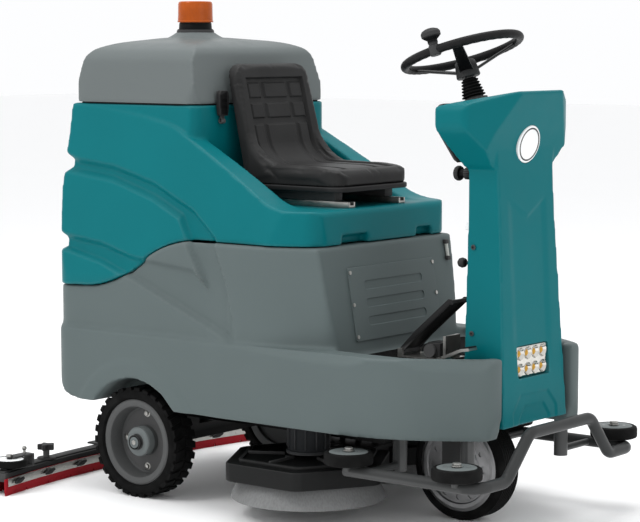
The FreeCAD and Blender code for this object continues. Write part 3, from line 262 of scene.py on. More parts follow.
def mix_finishes(choice):
    """Make every finish once, under the record's slot names and a few of the pieces' own."""
    FINISHES.update({
        "tank_teal": moulded("teal rotomoulded polyethylene", choice.tank_code, 0.42, 7.0, 0.95),
        "body_grey": moulded("grey rotomoulded polyethylene", choice.body_code, 0.46, 7.0, 0.96),
        "lid_grey": moulded("mid grey rotomoulded polyethylene", choice.lid_code, 0.42, 7.0, 0.96),
        "black_plastic": moulded("black glass-filled nylon", "#0D0D0E", 0.5, 3.0, 0.85, 0.12),
        "white_badge": moulded("white acrylic sheet", "#EFF1F1", 0.25, 6.0, 0.98, 0.0, 0.3, 0.02),
        "rim_grey": moulded("grey polypropylene rim", "#4B4C4C", 0.5, 4.0, 0.9, 0.08),
        "water_tank": moulded("natural polyethylene", "#C9CCC6", 0.45, 6.0),
        "lamp": moulded("chromed lamp shell", "#B9B4A8", 0.25, 5.0),
        "frame_black": coated("black powder-coated steel", "#0A0B0B", 0.45),
        "bumper_grey": coated("dark grey powder-coated tube", "#3A3B3B", 0.3),
        "battery_case": moulded("black battery case", "#202224", 0.5, 5.0),
        "rubber": rubbery("black moulded rubber", "#0B0B0B"),
        "tyre": rubbery("solid tyre rubber", "#070707", 0.8),
        "red_rubber": rubbery("red natural rubber", "#8E1620", 0.6, 4.0, 0.05),
        "seat_skin": upholstery("integral-skin foam", "#2B2B2B"),
        "steel": metal("zinc-plated steel", "#A9A8A4", 0.34),
        "hub_steel": metal("machined steel", "#8F8F90", 0.38, 1.5, 1),
        "motor_metal": coated("cast motor housing", "#2B2D2F", 0.5),
        "orange_lens": polycarbonate("amber polycarbonate", "#B4520F", 0.12),
        "bristle": bristled("grey polypropylene bristle", "#7C7D7D"),
        "lamp_metal": metal("aluminised lamp reflector", "#D8D6CF", 0.14),
        "lamp_amber": polycarbonate("warm lamp bulb", "#D9A43A", 0.2),
    })


# ---------------------------------------------------------------- how pieces are made

def put_down():
    """Select nothing, because an operator acts on all that is selected."""
    bpy.ops.object.select_all(action="DESELECT")


def pick_up(piece):
    """Select one piece alone and make it active."""
    put_down()
    piece.hide_set(False)
    piece.select_set(True)
    bpy.context.view_layer.objects.active = piece
    return piece


def named(name):
    """Name the piece that the last operator made."""
    piece = bpy.context.object
    piece.name = name
    piece.data.name = name
    return piece


def apply_place(piece):
    """Put the piece's place into its mesh."""
    pick_up(piece)
    bpy.ops.object.transform_apply(location=True, rotation=True, scale=True)
    return piece


def sharp_smooth(piece, degrees=32):
    """Shade smooth, but for edges sharper than the angle."""
    pick_up(piece)
    bpy.ops.object.shade_smooth_by_angle(angle=math.radians(degrees))


def even_out(piece):
    """Merge doubles and turn every face outwards."""
    pick_up(piece)
    bpy.ops.object.mode_set(mode="EDIT")
    bpy.ops.mesh.select_all(action="SELECT")
    bpy.ops.mesh.remove_doubles(threshold=0.00002)
    bpy.ops.mesh.dissolve_degenerate(threshold=0.00001)
    bpy.ops.mesh.normals_make_consistent(inside=False)
    bpy.ops.object.mode_set(mode="OBJECT")
    return piece


def modify(piece, kind, **settings):
    """Add one modifier and apply it."""
    pick_up(piece)
    step = piece.modifiers.new(kind.lower(), kind)
    for key, value in settings.items():
        setattr(step, key, value)
    bpy.ops.object.modifier_apply(modifier=step.name)
    return piece


def soften(piece, width_mm, steps=3, degrees=30):
    """Round every sharp edge."""
    return modify(piece, "BEVEL", width=width_mm * MM, segments=steps, limit_method="ANGLE",
                  angle_limit=math.radians(degrees), use_clamp_overlap=True, miter_outer="MITER_ARC")


def carve(piece, tool, operation="DIFFERENCE"):
    """Cut a piece with a tool, which is then thrown away, or join or cross the two."""
    modify(piece, "BOOLEAN", object=tool, operation=operation, solver="EXACT")
    bpy.data.objects.remove(tool)
    return piece


def chunk(name, low, high, round_mm=0.0, steps=2):
    """A block between two corners in millimetres, with rounded edges."""
    a, b = spot(*low), spot(*high)
    put_down()
    bpy.ops.mesh.primitive_cube_add(size=1, location=(a + b) / 2)
    piece = named(name)
    piece.scale = b - a
    apply_place(piece)
    if round_mm:
        soften(piece, round_mm, steps)
    return piece


TURN = {"X": (0, math.pi / 2, 0), "Y": (-math.pi / 2, 0, 0), "Z": (0, 0, 0)}


def bar(name, base, radius, length, axis="Z", sides=32, round_mm=0.0):
    """A round bar from its base, along an axis."""
    reach = Vector((axis == "X", axis == "Y", axis == "Z")) * (length * MM)
    put_down()
    bpy.ops.mesh.primitive_cylinder_add(
        vertices=sides, radius=radius * MM, depth=length * MM, location=spot(*base) + reach / 2,
            rotation=TURN[axis])
    piece = apply_place(named(name))
    if round_mm:
        soften(piece, round_mm, 2)
    return piece


def hexagon(name, base, across, length, axis="Z"):
    """A six-sided bolt head or nut, with its width across flats."""
    return bar(name, base, across / math.sqrt(3), length, axis, 6, 0.6)


def slab(name, outline, axis, low, high):
    """A flat outline of (u, w, corner cut) in millimetres, its corners rounded, pulled along the axis."""
    put_down()
    bpy.ops.mesh.primitive_circle_add(vertices=len(outline), fill_type="NGON", location=(0, 0, 0))
    piece = named(name)
    lifts = {"Z": lambda u, w: spot(u, w, low), "Y": lambda u, w: spot(u, low, w), "X": lambda u,
            w: spot(low, u, w)}
    for vertex, (u, w, _) in zip(piece.data.vertices, outline):
        vertex.co = lifts[axis](u, w)
    corners = [(piece.data.vertices[i].co.copy(), cut) for i, (_, _, cut) in enumerate(outline) if cut]
    bpy.ops.object.mode_set(mode="EDIT")
    bpy.ops.mesh.select_mode(type="VERT")
    for place, cut in corners:
        shape = bmesh.from_edit_mesh(piece.data)
        for vertex in shape.verts:
            vertex.select = (vertex.co - place).length < 1e-5
        shape.select_flush_mode()
        bmesh.update_edit_mesh(piece.data)
        bpy.ops.mesh.bevel(offset=cut * MM, segments=8, affect="VERTICES", clamp_overlap=True)
    bpy.ops.mesh.select_all(action="SELECT")
    reach = Vector((axis == "X", axis == "Y", axis == "Z")) * ((high - low) * MM)
    bpy.ops.mesh.extrude_region_move(TRANSFORM_OT_translate={"value": reach})
    bpy.ops.mesh.select_all(action="SELECT")
    bpy.ops.mesh.normals_make_consistent(inside=False)
    bpy.ops.object.mode_set(mode="OBJECT")
    return piece


def lathe(name, profile, base, axis="Z", steps=64):
    """Spin a profile of (radius, height) millimetres about an axis through base."""
    put_down()
    bpy.ops.mesh.primitive_circle_add(vertices=len(profile), fill_type="NOTHING", location=(0, 0, 0))
    piece = named(name)
    for vertex, (radius, height) in zip(piece.data.vertices, profile):
        vertex.co = (radius * MM, 0, height * MM)
    bpy.ops.object.mode_set(mode="EDIT")
    bpy.ops.mesh.select_all(action="SELECT")
    bpy.ops.mesh.spin(steps=steps, angle=math.tau, center=(0, 0, 0), axis=(0, 0, 1))
    bpy.ops.object.mode_set(mode="OBJECT")
    even_out(piece)
    piece.rotation_euler = TURN[axis]
    piece.location = spot(*base)
    return apply_place(piece)


def turned(piece, centre, axis, angle):
    """Turn a piece's mesh about a point."""
    middle = Matrix.Translation(centre)
    piece.data.transform(middle @ Matrix.Rotation(angle, 4, axis) @ middle.inverted())
    return piece


def twin(piece, name, turn=None, mirror=False):
    """A copy with its own mesh, turned about a point or mirrored to the other side."""
    other = piece.copy()
    other.data = piece.data.copy()
    bpy.context.scene.collection.objects.link(other)
    other.name, other.data.name = name, name
    if mirror:
        other.data.transform(Matrix.Scale(-1, 4, (0, 1, 0)))
        other.data.flip_normals()
    if turn:
        turned(other, *turn)
    return other


def fuse(name, pieces):
    """Join loose pieces into one object."""
    put_down()
    for piece in pieces:
        piece.select_set(True)
    bpy.context.view_layer.objects.active = pieces[0]
    bpy.ops.object.join()
    return named(name)


def fit(piece, body, slot, stands_for=(), smooth=32):
    """Give a finished piece its finish and its body."""
    if smooth:
        sharp_smooth(piece, smooth)
    if not piece.data.materials:
        piece.data.materials.append(finish(slot))
    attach(piece, body)
    if stands_for:
        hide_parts(*stands_for)
    return piece


def remould(piece, voxel_mm, rounds):
    """Turn a boolean solid into an even skin with soft moulded edges."""
    modify(piece, "REMESH", mode="VOXEL", voxel_size=voxel_mm * MM, use_smooth_shade=True)
    return modify(piece, "SMOOTH", factor=0.5, iterations=rounds)


def sink(piece, rule):
    """Move the skin's points by rule(x, y, z), which takes and gives millimetre arrays."""
    count = len(piece.data.vertices)
    flat = np.empty(count * 3)
    piece.data.vertices.foreach_get("co", flat)
    points = flat.reshape(-1, 3) / MM
    points[:, 0] -= AXLE
    x, y, z = rule(points[:, 0].copy(), points[:, 1].copy(), points[:, 2].copy())
    moved = np.stack([(x + AXLE) * MM, y * MM, z * MM], 1)
    piece.data.vertices.foreach_set("co", moved.ravel())
    piece.data.update()
    return piece


def ramp_up(value, low, high):
    """A soft step from 0 at low to 1 at high."""
    share = np.clip((value - low) / (high - low), 0, 1)
    return share * share * (3 - 2 * share)


# ---------------------------------------------------------------- pieces

class ScrubberLook(bpy.types.PropertyGroup):
    """The sizes and colours that a user would change."""
    tank_code: bpy.props.StringProperty(name="Tank colour", description="Hex colour of the tank and column",
            default="#00656B")
    body_code: bpy.props.StringProperty(name="Body colour", description="Hex colour of the lower body",
            default="#596363")
    lid_code: bpy.props.StringProperty(name="Lid colour", description="Hex colour of the tank's lid",
            default="#626868")
    sweep_depth: bpy.props.FloatProperty(
        name="Sweep depth", description="How deep the swept bands are pressed into the sides", default=0.017,
        min=0.0, max=0.02, unit="LENGTH")
    lug_count: bpy.props.IntProperty(name="Tyre lugs", description="Lugs around each rear tyre", default=30,
            min=12, max=48)
    notch_pitch: bpy.props.FloatProperty(
        name="Blade notch pitch", description="Distance between the notches in the squeegee blades",
            default=0.1,
        min=0.03, max=0.2, unit="LENGTH")


class SizesOfRoom(bpy.types.PropertyGroup):
    """The room that the machine is shown in."""
    floor_half: bpy.props.FloatProperty(name="Floor", description="Half the floor's side", default=30.0,
            unit="LENGTH")
    lens: bpy.props.FloatProperty(name="Lens", description="Focal length in millimetres", default=124.02)


def look():
    """The machine's sizes and colours."""
    return bpy.context.scene.scrubber_look


class SCRUBBER_OT_stage(bpy.types.Operator):
    """Floor, soft lights and camera"""
    bl_idname = "scrubber.stage"
    bl_label = "Stage"

    def execute(self, context):
        room = context.scene.scrubber_room
        put_down()
        bpy.ops.mesh.primitive_plane_add(size=2 * room.floor_half, location=(0, 0, 0))
        floor = named("studio_floor")
        made, tree, shader = blank("pale studio floor")
        place = add(tree, "ShaderNodeTexCoord").outputs["Object"]
        tree.links.new(shader.inputs["Base Color"], mottled(tree, place, "#FBFBFB", 0.995, 900.0))
        shader.inputs["Roughness"].default_value = 0.7
        floor.data.materials.append(made)
        world = bpy.data.worlds.new("pale room")
        world.use_nodes = True
        back = world.node_tree.nodes["Background"]
        back.inputs["Color"].default_value = (0.985, 0.99, 1.0, 1)
        back.inputs["Strength"].default_value = 1.0
        context.scene.world = world
        context.scene.view_settings.view_transform = "Standard"
        for name, place, size, power in (
            ("key", (-1.6, -3.6, 4.6), 2.2, 95), ("fill", (5.5, -0.5, 2.6), 3.0, 16),
                ("top", (-0.3, 0.3, 5.2), 3.0, 120),
        ):
            put_down()
            bpy.ops.object.light_add(type="AREA", location=place)
            lamp = context.object
            lamp.name = name + "_light"
            lamp.data.size = size
            lamp.data.energy = power
            lamp.rotation_euler = (Vector((0, 0, 0.6)) - Vector(place)).to_track_quat("-Z", "Y").to_euler()
        put_down()
        bpy.ops.object.camera_add(
            location=(3.6614, -4.6428, 1.2422), rotation=(math.radians(90 - 5.834), 0, math.radians(38.255)))
        camera = context.object
        camera.data.lens = room.lens
        camera.data.sensor_width = 36
        context.scene.camera = camera
        return {"FINISHED"}


def pressed(x, z, depth):
    """Depth of the two swept bands at a place on the side, in millimetres."""
    def band(top, low, soft_top, soft_low):
        high = np.interp(x, *zip(*top))
        deep = np.interp(x, *zip(*low))
        return (1 - ramp_up(z, high - soft_top, high)) * ramp_up(z, deep, deep + soft_low)
    upper = band(
        [(-300, 930), (-239, 914), (-104, 900), (44, 862), (194, 795), (278, 727), (330, 600), (362, 460)],
        [(-300, 866), (-235, 860), (-103, 845), (48, 802), (150, 756), (190, 690), (240, 600), (290, 500),
            (362, 440)],
        26, 22)
    lower = band(
        [(-300, 712), (-246, 705), (-126, 692), (-13, 662), (208, 640), (362, 500)],
        [(-300, 656), (-243, 650), (-124, 626), (0, 584), (362, 440)], 24, 16)
    return depth * np.maximum(upper, lower) * (1 - ramp_up(x, 318, 366))


def sweep_sides(x, y, z):
    """Press the bands into both sides and the back."""
    depth = pressed(x, z, look().sweep_depth / MM)
    y = np.where(np.abs(y) > 200, y - np.sign(y) * depth, y)
    return np.where(x < -262, x + depth, x), y, z


class SCRUBBER_OT_lower_body(bpy.types.Operator):
    """Grey moulded body with its wings, arches and footwell"""
    bl_idname = "scrubber.lower_body"
    bl_label = "Lower body"

    def execute(self, context):
        body = slab("body_skin", [(-302, -360, 70), (830, -360, 120), (1066, -206, 26), (1066, 206, 26),
                (830, 360, 120), (-302, 360, 70)], "Z", 250, 520)
        side = slab("side_cut", [(-302, 252, 96), (-302, 446, 0), (1096, 454, 0), (1054, 252, 0)], "Y", -372,
                372)
        carve(body, side, "INTERSECT")
        console = slab("console", [(-302, -346, 66), (442, -346, 80), (640, -276, 40), (640, 276, 40),
                (442, 346, 80), (-302, 346, 66)], "Z", 386, 730)
        side = slab("console_cut", [(-302, 386, 0), (646, 386, 0), (592, 706, 0), (118, 706, 90),
                (-80, 568, 90), (-302, 560, 0)], "Y", -372, 372)
        carve(console, side, "INTERSECT")
        carve(body, console, "UNION")
        footwell = slab("footwell", [(560, -278, 0), (870, -286, 40), (1032, -182, 20), (1032, 182, 20),
                (870, 286, 40), (560, 278, 0)], "Z", 424, 520)
        keep = slab("keep", [(-100, 380, 0), (640, 424, 0), (592, 706, 0), (-100, 706, 0)], "Y", -400, 400)
        carve(footwell, keep)
        carve(body, footwell)
        carve(body, chunk("gate", (923, -159, 200), (1120, 159, 520)))
        for name, base in (("arch_right", (8, -390, 150)), ("arch_left", (8, 248, 150))):
            carve(body, bar(name, base, 176, 142, "Y", 96))
        remould(body, 6.0, 7)

        def shape(x, y, z):
            side = np.abs(y)
            # the wing's rim is chamfered, more towards the front
            wide = 14 * ramp_up(x, 150, 640)
            edge = np.where(x < 830, 360, 360 - (x - 830) * 154 / 236)
            limit = edge - np.clip(z - (452 - 1.9 * wide), 0, 60) / 1.9
            y = np.where((z < 453) & (x > 150) & (side > limit), np.sign(y) * limit, y)
            side = np.abs(y)
            # the wheel arch has a low flare round it
            away = np.hypot(x - 8, z - 150)
            flare = 5 * (1 - ramp_up(away, 214, 236)) * ramp_up(side, 338, 348)
            y = y + np.sign(y) * (flare - 4) * ramp_up(side, 300, 340) * (1 - ramp_up(x, 240, 320))
            return sweep_sides(x, y, z)

        sink(body, shape)
        tools = [
            slab("inside", [(-282, -322, 40), (430, -322, 60), (560, -250, 20), (560, 250, 20), (430, 322, 60),
                (-282, 322, 40)], "Z", 345, 800),
            chunk("inside_low", (-282, -236, 200), (590, 236, 346)),
            chunk("under_floor", (580, -200, 200), (930, 200, 414)),
            chunk("opening", (560, -176, 478), (700, 176, 630)),
        ]
        for tool in tools:
            carve(body, tool)
        fit(body, "chassis", "body_grey", ["lower_body"], 40)
        return {"FINISHED"}


class SCRUBBER_OT_recovery_tank(bpy.types.Operator):
    """Teal tilting tank with its swept bands and the hood around the seat"""
    bl_idname = "scrubber.recovery_tank"
    bl_label = "Recovery tank"

    def execute(self, context):
        tank = slab("tank_skin", [(-296, -350, 62), (442, -346, 80), (586, -284, 44), (586, 284, 44),
                (442, 346, 80), (-296, 350, 62)], "Z", 560, 1059)
        side = slab("tank_cut", [(586, 708, 0), (581, 797, 16), (455, 799, 60), (411, 832, 20), (331, 880, 30),
                (240, 931, 30), (108, 1001, 30),
                                 (-21, 1028, 30), (-126, 1042, 30), (-278, 1059, 0), (-291, 800, 0),
                                 (-296, 562, 0), (-80, 570, 90), (118, 708, 90)], "Y", -380, 380)
        carve(tank, side, "INTERSECT")
        lean = slab("tank_lean", [(-354, 561, 0), (-283, 1059, 0), (283, 1059, 0), (354, 561, 0)], "X", -400,
                700)
        carve(tank, lean, "INTERSECT")
        tower = slab("tank_tower", [(-286, -292, 50), (168, -292, 46), (168, 292, 46), (-286, 292, 50)], "Z",
                780, 1059)
        side = slab("tower_cut", [(-278, 1059, 0), (168, 1059, 0), (168, 780, 0), (-288, 780, 0)], "Y", -380,
                380)
        carve(tower, side, "INTERSECT")
        across = slab("tower_across", [(-292, 780, 0), (-281, 1059, 0), (281, 1059, 0), (292, 780, 0)], "X",
                -400, 400)
        carve(tower, across, "INTERSECT")
        carve(tank, tower, "UNION")
        carve(tank, slab("seat_well", [(168, -232, 0), (700, -232, 0), (700, 232, 0), (168, 232, 0)], "Z", 797,
                1200))
        for low, high in ((-182, -71), (144, 211)):
            carve(tank, chunk("grip", (560, low, 690), (640, high, 731)))
        remould(tank, 5.0, 4)
        sink(tank, sweep_sides)
        tools = [
            slab("water", [(-262, -292, 30), (60, -292, 30), (60, 292, 30), (-262, 292, 30)], "Z", 660, 840),
            slab("water_high", [(-262, -258, 30), (140, -258, 30), (140, 258, 30), (-262, 258, 30)], "Z", 700,
                1100),
            chunk("hood_space", (180, -222, 690), (540, 222, 786)),
        ]
        for tool in tools:
            carve(tank, tool)
        fit(tank, "recovery_tank", "tank_teal", ["recovery_tank"], 40)
        return {"FINISHED"}


class SCRUBBER_OT_tank_lid(bpy.types.Operator):
    """Grey crowned lid with its moulded boss, and the beacon on it"""
    bl_idname = "scrubber.tank_lid"
    bl_label = "Lid and beacon"

    def execute(self, context):
        lid = slab("lid_skin", [(-280, -283, 44), (168, -283, 40), (168, 283, 40), (-280, 283, 44)], "Z", 1062,
                1252)
        side = slab("lid_cut", [(-280, 1062, 0), (-256, 1196, 26), (-206, 1222, 30), (-112, 1238, 20),
                (-40, 1238, 20), (96, 1226, 30), (136, 1204, 24), (168, 1062, 0)], "Y", -400, 400)
        carve(lid, side, "INTERSECT")
        across = slab("lid_across", [(-283, 1062, 0), (-256, 1196, 26), (-206, 1220, 30), (-60, 1240, 40),
                (60, 1240, 40), (206, 1220, 30), (256, 1196, 26), (283, 1062, 0)], "X", -400, 400)
        carve(lid, across, "INTERSECT")
        boss = lathe("boss", [(0, 1190), (104, 1190), (104, 1226), (74, 1238), (58, 1247), (54, 1251.6),
                (0, 1251.6)], (-75, 0, 0), "Z", 64)
        carve(lid, boss, "UNION")
        remould(lid, 4.6, 5)
        carve(lid, slab("lid_space", [(-244, -244, 40), (128, -244, 36), (128, 244, 36), (-244, 244, 40)], "Z",
                1040, 1188))
        fit(lid, "tank_lid", "lid_grey", ["tank_lid"], 40)
        base = lathe("beacon_foot", [(0, 1250), (52, 1250), (52, 1256), (49, 1260), (46, 1261), (45, 1276),
                (43, 1279), (0, 1279)], (-75, 0, 0), "Z", 96)
        fit(base, "tank_lid", "black_plastic", ["beacon_base"])
        dome = [(43, 1279), (50, 1279.4), (50, 1283), (49, 1284.5), (48.4, 1300), (48, 1330), (46, 1335.4),
                (42, 1337.4), (0, 1337.9),
                (0, 1334), (40, 1333), (43.4, 1329), (44, 1283)]
        lens = lathe("beacon_dome", dome, (-75, 0, 0), "Z", 96)
        fit(lens, "tank_lid", "orange_lens", ["beacon_lens"], 20)
        return {"FINISHED"}


class SCRUBBER_OT_column(bpy.types.Operator):
    """Teal steering column cover with its wide cowl, shallow front panel and foot arches"""
    bl_idname = "scrubber.column"
    bl_label = "Steering column"

    def execute(self, context):
        column = slab("column_skin", [(1060, 274, 0), (1020, 965, 60), (1030, 1025, 0), (935, 1025, 0),
                (935, 274, 0)], "Y", -160, 160)
        face = slab("column_face", [(-147, 274, 0), (-124, 850, 120), (-130, 1025, 0), (130, 1025, 0),
                (124, 850, 120), (147, 274, 0)], "X", 900, 1100)
        carve(column, face, "INTERSECT")
        cowl = slab("cowl", [(1076, -86, 14), (1076, 86, 14), (995, 232, 18), (906, 232, 0), (906, -232, 0),
                (995, -232, 18)], "Z", 880, 1120)
        side = slab("cowl_cut", [(1016, 905, 0), (1020, 965, 50), (1075, 1110, 12), (906, 1070, 0),
                (906, 999, 24), (935, 905, 0)], "Y", -250, 250)
        carve(cowl, side, "INTERSECT")
        face = slab("cowl_face", [(-124, 905, 30), (-231, 1017, 16), (-231, 1076, 20), (-86, 1110, 24),
                (86, 1110, 24), (231, 1076, 20), (231, 1017, 16), (124, 905, 30)], "X", 860, 1120)
        carve(cowl, face, "INTERSECT")
        carve(column, cowl, "UNION")
        remould(column, 4.0, 3)

        def shape(x, y, z):
            side = np.abs(y)
            front = ramp_up(x, 1000, 1012)
            # a shallow V-topped panel, and the double arch at the foot
            top = 851 - 0.55 * (100 - np.minimum(side, 100))
            panel = ramp_up(top - z, 0, 10) * (1 - ramp_up(side, 62, 92)) * ramp_up(z, 380, 520)
            arch = 352 - 1.1 * np.maximum(side - 62, 0)
            outer = ramp_up(arch - z, 0, 6) * (1 - ramp_up(side, 96, 102))
            inner_top = 322 - 1.3 * np.maximum(side - 44, 0)
            inner = ramp_up(inner_top - z, 0, 6) * (1 - ramp_up(side, 66, 72))
            return x - front * (3.0 * panel + 3.0 * outer + 3.0 * inner), y, z

        sink(column, shape)
        tools = [
            chunk("column_space", (880, -112, 200), (1006, 112, 980)),
            chunk("cowl_space", (890, -196, 1010), (976, 196, 1056)),
            chunk("lamp_window", (990, -72, 390), (1100, 72, 472), 8, 4),
            bar("badge_seat", (1012, 0, 973), 48.3, 80, "X", 96),
        ]
        for tool in tools:
            carve(column, tool)
        fit(column, "chassis", "tank_teal", ["column_cover"], 40)
        return {"FINISHED"}


def padded_area(u, w, low_u, high_u, low_w, high_w, soft):
    """1 inside a rounded rectangle and 0 outside it, with a soft edge in millimetres."""
    reach = np.minimum(np.minimum(u - low_u, high_u - u), np.minimum(w - low_w, high_w - w))
    return ramp_up(reach, 0, soft)


def seat_pattern(x, y, z):
    """Sink the middle of the back and the cushion, and leave raised pads and long ribs in it."""
    face = 262 - (z - 906) * 64 / 264
    front = ramp_up(x - face, -18, -6) * ramp_up(z, 905, 925)
    sunk = padded_area(y, z, -122, 122, 880, 1132, 7)
    pads = np.zeros_like(y)
    for low, high in ((1074, 1118), (1020, 1064)):
        for left, right in ((-114, -60), (-50, 50), (60, 114)):
            pads = np.maximum(pads, padded_area(y, z, left, right, low, high, 6))
    for left, right in ((-114, -72), (-62, 62), (72, 114)):
        pads = np.maximum(pads, padded_area(y, z, left, right, 860, 1008, 6))
    x = x - front * (10 * sunk - 5 * pads * sunk)
    top = ramp_up(z, 880, 890) * (1 - ramp_up(z, 930, 950)) * ramp_up(x, 262, 300)
    sunk = padded_area(x, y, 250, 524, -122, 122, 9)
    pads = np.zeros_like(y)
    for left, right in ((-114, -72), (-62, 62), (72, 114)):
        pads = np.maximum(pads, padded_area(y, x, left, right, 240, 512, 6))
    return x, y, z - top * (9 * sunk - 5 * pads * sunk)


def plump(piece, voxel_mm, pressure, cap_mm):
    """Blow a pad up as cloth from a closed form, hold each point within a cap, and keep the result."""
    modify(piece, "REMESH", mode="VOXEL", voxel_size=voxel_mm * MM)
    modify(piece, "SMOOTH", factor=0.5, iterations=6)
    count = len(piece.data.vertices)
    before = np.empty(count * 3)
    piece.data.vertices.foreach_get("co", before)
    pick_up(piece)
    cloth = piece.modifiers.new("plump", "CLOTH")
    cloth.settings.use_pressure = True
    cloth.settings.uniform_pressure_force = pressure
    cloth.settings.effector_weights.gravity = 0.0
    cloth.settings.tension_stiffness = 40
    cloth.settings.quality = 6
    cloth.point_cache.frame_start, cloth.point_cache.frame_end = 1, 20
    for moment in range(1, 21):
        bpy.context.scene.frame_set(moment)
    bpy.ops.object.modifier_apply(modifier=cloth.name)
    bpy.context.scene.frame_set(1)
    after = np.empty(count * 3)
    piece.data.vertices.foreach_get("co", after)
    moved = (after - before).reshape(-1, 3)
    length = np.linalg.norm(moved, axis=1, keepdims=True)
    moved *= np.minimum(1, cap_mm * MM / np.maximum(length, 1e-9))
    piece.data.vertices.foreach_set("co", (before.reshape(-1, 3) + moved).ravel())
    piece.data.update()
    return modify(piece, "SUBSURF", levels=1, render_levels=1)


class SCRUBBER_OT_seat(bpy.types.Operator):
    """Foam seat cushion and backrest with moulded pads and channels"""
    bl_idname = "scrubber.seat"
    bl_label = "Seat"

    def execute(self, context):
        # one moulding: a leaning back that curves into the cushion
        seat = slab("seat_bucket", [(236, 851, 10), (166, 1170, 12), (198, 1170, 16), (262, 902, 62),
                (500, 899, 40), (554, 886, 26), (556, 852, 4)],
                    "Y", -161, 161)
        front = slab("seat_front", [(-161, 840, 0), (-155, 1171, 46), (155, 1171, 46), (161, 840, 0)], "X", 100,
                700)
        carve(seat, front, "INTERSECT")
        plan = slab("seat_plan", [(150, -161, 10), (556, -161, 44), (556, 161, 44), (150, 161, 10)], "Z", 840,
                1180)
        carve(seat, plan, "INTERSECT")
        for side in (-1, 1):
            cheek = slab("cheek", [(240, 880, 0), (236, 1000, 0), (262, 935, 50), (330, 904, 0), (330, 880, 0)],
                    "Y", min(side * 128, side * 158), max(side * 128, side * 158))
            carve(seat, cheek, "UNION")
        plump(seat, 4.0, 3.0, 3.0)
        sink(seat, seat_pattern)
        fit(seat, "seat", "seat_skin", ["seat_backrest", "seat_cushion"], 0)

        # the shell under the pads: a pan with a rolled lip all round
        pan = slab("seat_shell", [(232, -163, 16), (560, -163, 46), (560, 163, 46), (232, 163, 16)], "Z", 838.2,
                852)
        soften(pan, 4.0, 3)
        legs = [pan]
        for side in (-RAIL_Y, RAIL_Y):
            legs.append(chunk("runner", (262, side - 17, 813.6), (516, side + 17, 839), 2.0))
        fit(fuse("seat_shell", legs), "seat", "black_plastic", ["seat_pan"])
        rails = []
        for side in (-RAIL_Y, RAIL_Y):
            rail = chunk("rail", (202, side - 14, 797.2), (560, side + 14, 812.6), 1.2)
            carve(rail, chunk("track", (196, side - 8, 804), (566, side + 8, 820)))
            rails.append(rail)
            rails.append(bar("rail_bolt", (540, side, 797), 5, 9, "Z", 16, 0.8))
        fit(fuse("seat_runners", rails), "recovery_tank", "steel", ["seat_rails"])
        return {"FINISHED"}


class SCRUBBER_OT_steering(bpy.types.Operator):
    """Steering wheel with finger grips, spinner knob, boot"""
    bl_idname = "scrubber.steering"
    bl_label = "Steering"

    def execute(self, context):
        centre = spot(828, 0, 1200)
        rake = Matrix.Rotation(math.radians(-18.3), 4, "Y")
        stand = Matrix.Translation(centre) @ rake
        put_down()
        bpy.ops.mesh.primitive_torus_add(major_segments=144, minor_segments=20, major_radius=0.150,
                minor_radius=0.0114)
        rim = named("wheel_rim")
        # finger grips on the underside of the rim
        for vertex in rim.data.vertices:
            turn = math.atan2(vertex.co.y, vertex.co.x)
            if vertex.co.z < 0:
                vertex.co.z *= 1 - 0.07 * (0.5 + 0.5 * math.cos(turn * 40))
        parts = [rim]
        for angle in (60, 180, 300):
            put_down()
            bpy.ops.mesh.primitive_cube_add(size=1)
            spoke = named("spoke")
            bpy.ops.object.mode_set(mode="EDIT")
            bpy.ops.mesh.subdivide(number_cuts=6)
            bpy.ops.object.mode_set(mode="OBJECT")
            for vertex in spoke.data.vertices:
                share = vertex.co.x + 0.5
                reach = 20 + 126 * share
                wide = 36 - 10 * share
                vertex.co = Vector((reach * MM, vertex.co.y * wide * MM,
                        (-50 + 47 * share + vertex.co.z * 8) * MM))
            spoke.data.transform(Matrix.Rotation(math.radians(angle), 4, "Z"))
            soften(spoke, 2.5, 3, 40)
            parts.append(spoke)
        hub = lathe("hub", [(0, -66), (29, -66), (31, -63), (28.5, -40), (26, -26), (23, -23), (0, -23.4)],
                (-AXLE, 0, 0))
        shaft = lathe("shaft", [(0, -225), (10.8, -225), (10.8, -62), (0, -62)], (-AXLE, 0, 0), "Z", 32)
        clamp = lathe("clamp", [(0, -14), (12, -14), (14.5, -11), (14.5, 10), (12, 13.4), (0, 13.4)],
                (-AXLE, 0, 0), "Z", 40)
        spin = Vector((0.150 * math.cos(math.radians(278)), 0.150 * math.sin(math.radians(278)), 0))
        clamp.data.transform(Matrix.Translation(spin))
        wheel = fuse("hand_wheel", parts + [hub, shaft, clamp])
        wheel.data.transform(stand)
        fit(wheel, "steering_wheel", "black_plastic", ["steering_wheel"], 40)
        knob = lathe("knob", [(0, 14), (11, 14), (13, 20), (12.6, 26), (19, 31), (24.6, 36), (25, 45), (21, 51),
                (12, 55), (0, 56)], (-AXLE, 0, 0), "Z", 48)
        knob.data.transform(Matrix.Translation(spin))
        knob.data.transform(stand)
        knob.name = "spinner_knob"
        fit(knob, "steering_knob", "black_plastic", ["steering_knob"])
        profile = [(19, -119)]
        for n in range(6):
            profile += [(31 - 1.7 * n, -116 + 8 * n), (30.4 - 1.7 * n, -114.4 + 8 * n),
                    (24 - 1.5 * n, -112 + 8 * n)]
        profile += [(18, -70), (14.2, -70), (14.2, -119)]
        boot = lathe("boot", profile, (-AXLE, 0, 0), "Z", 64)
        boot.data.transform(stand)
        boot.name = "steering_boot"
        fit(boot, "chassis", "rubber", ["steering_bellows"], 50)
        return {"FINISHED"}


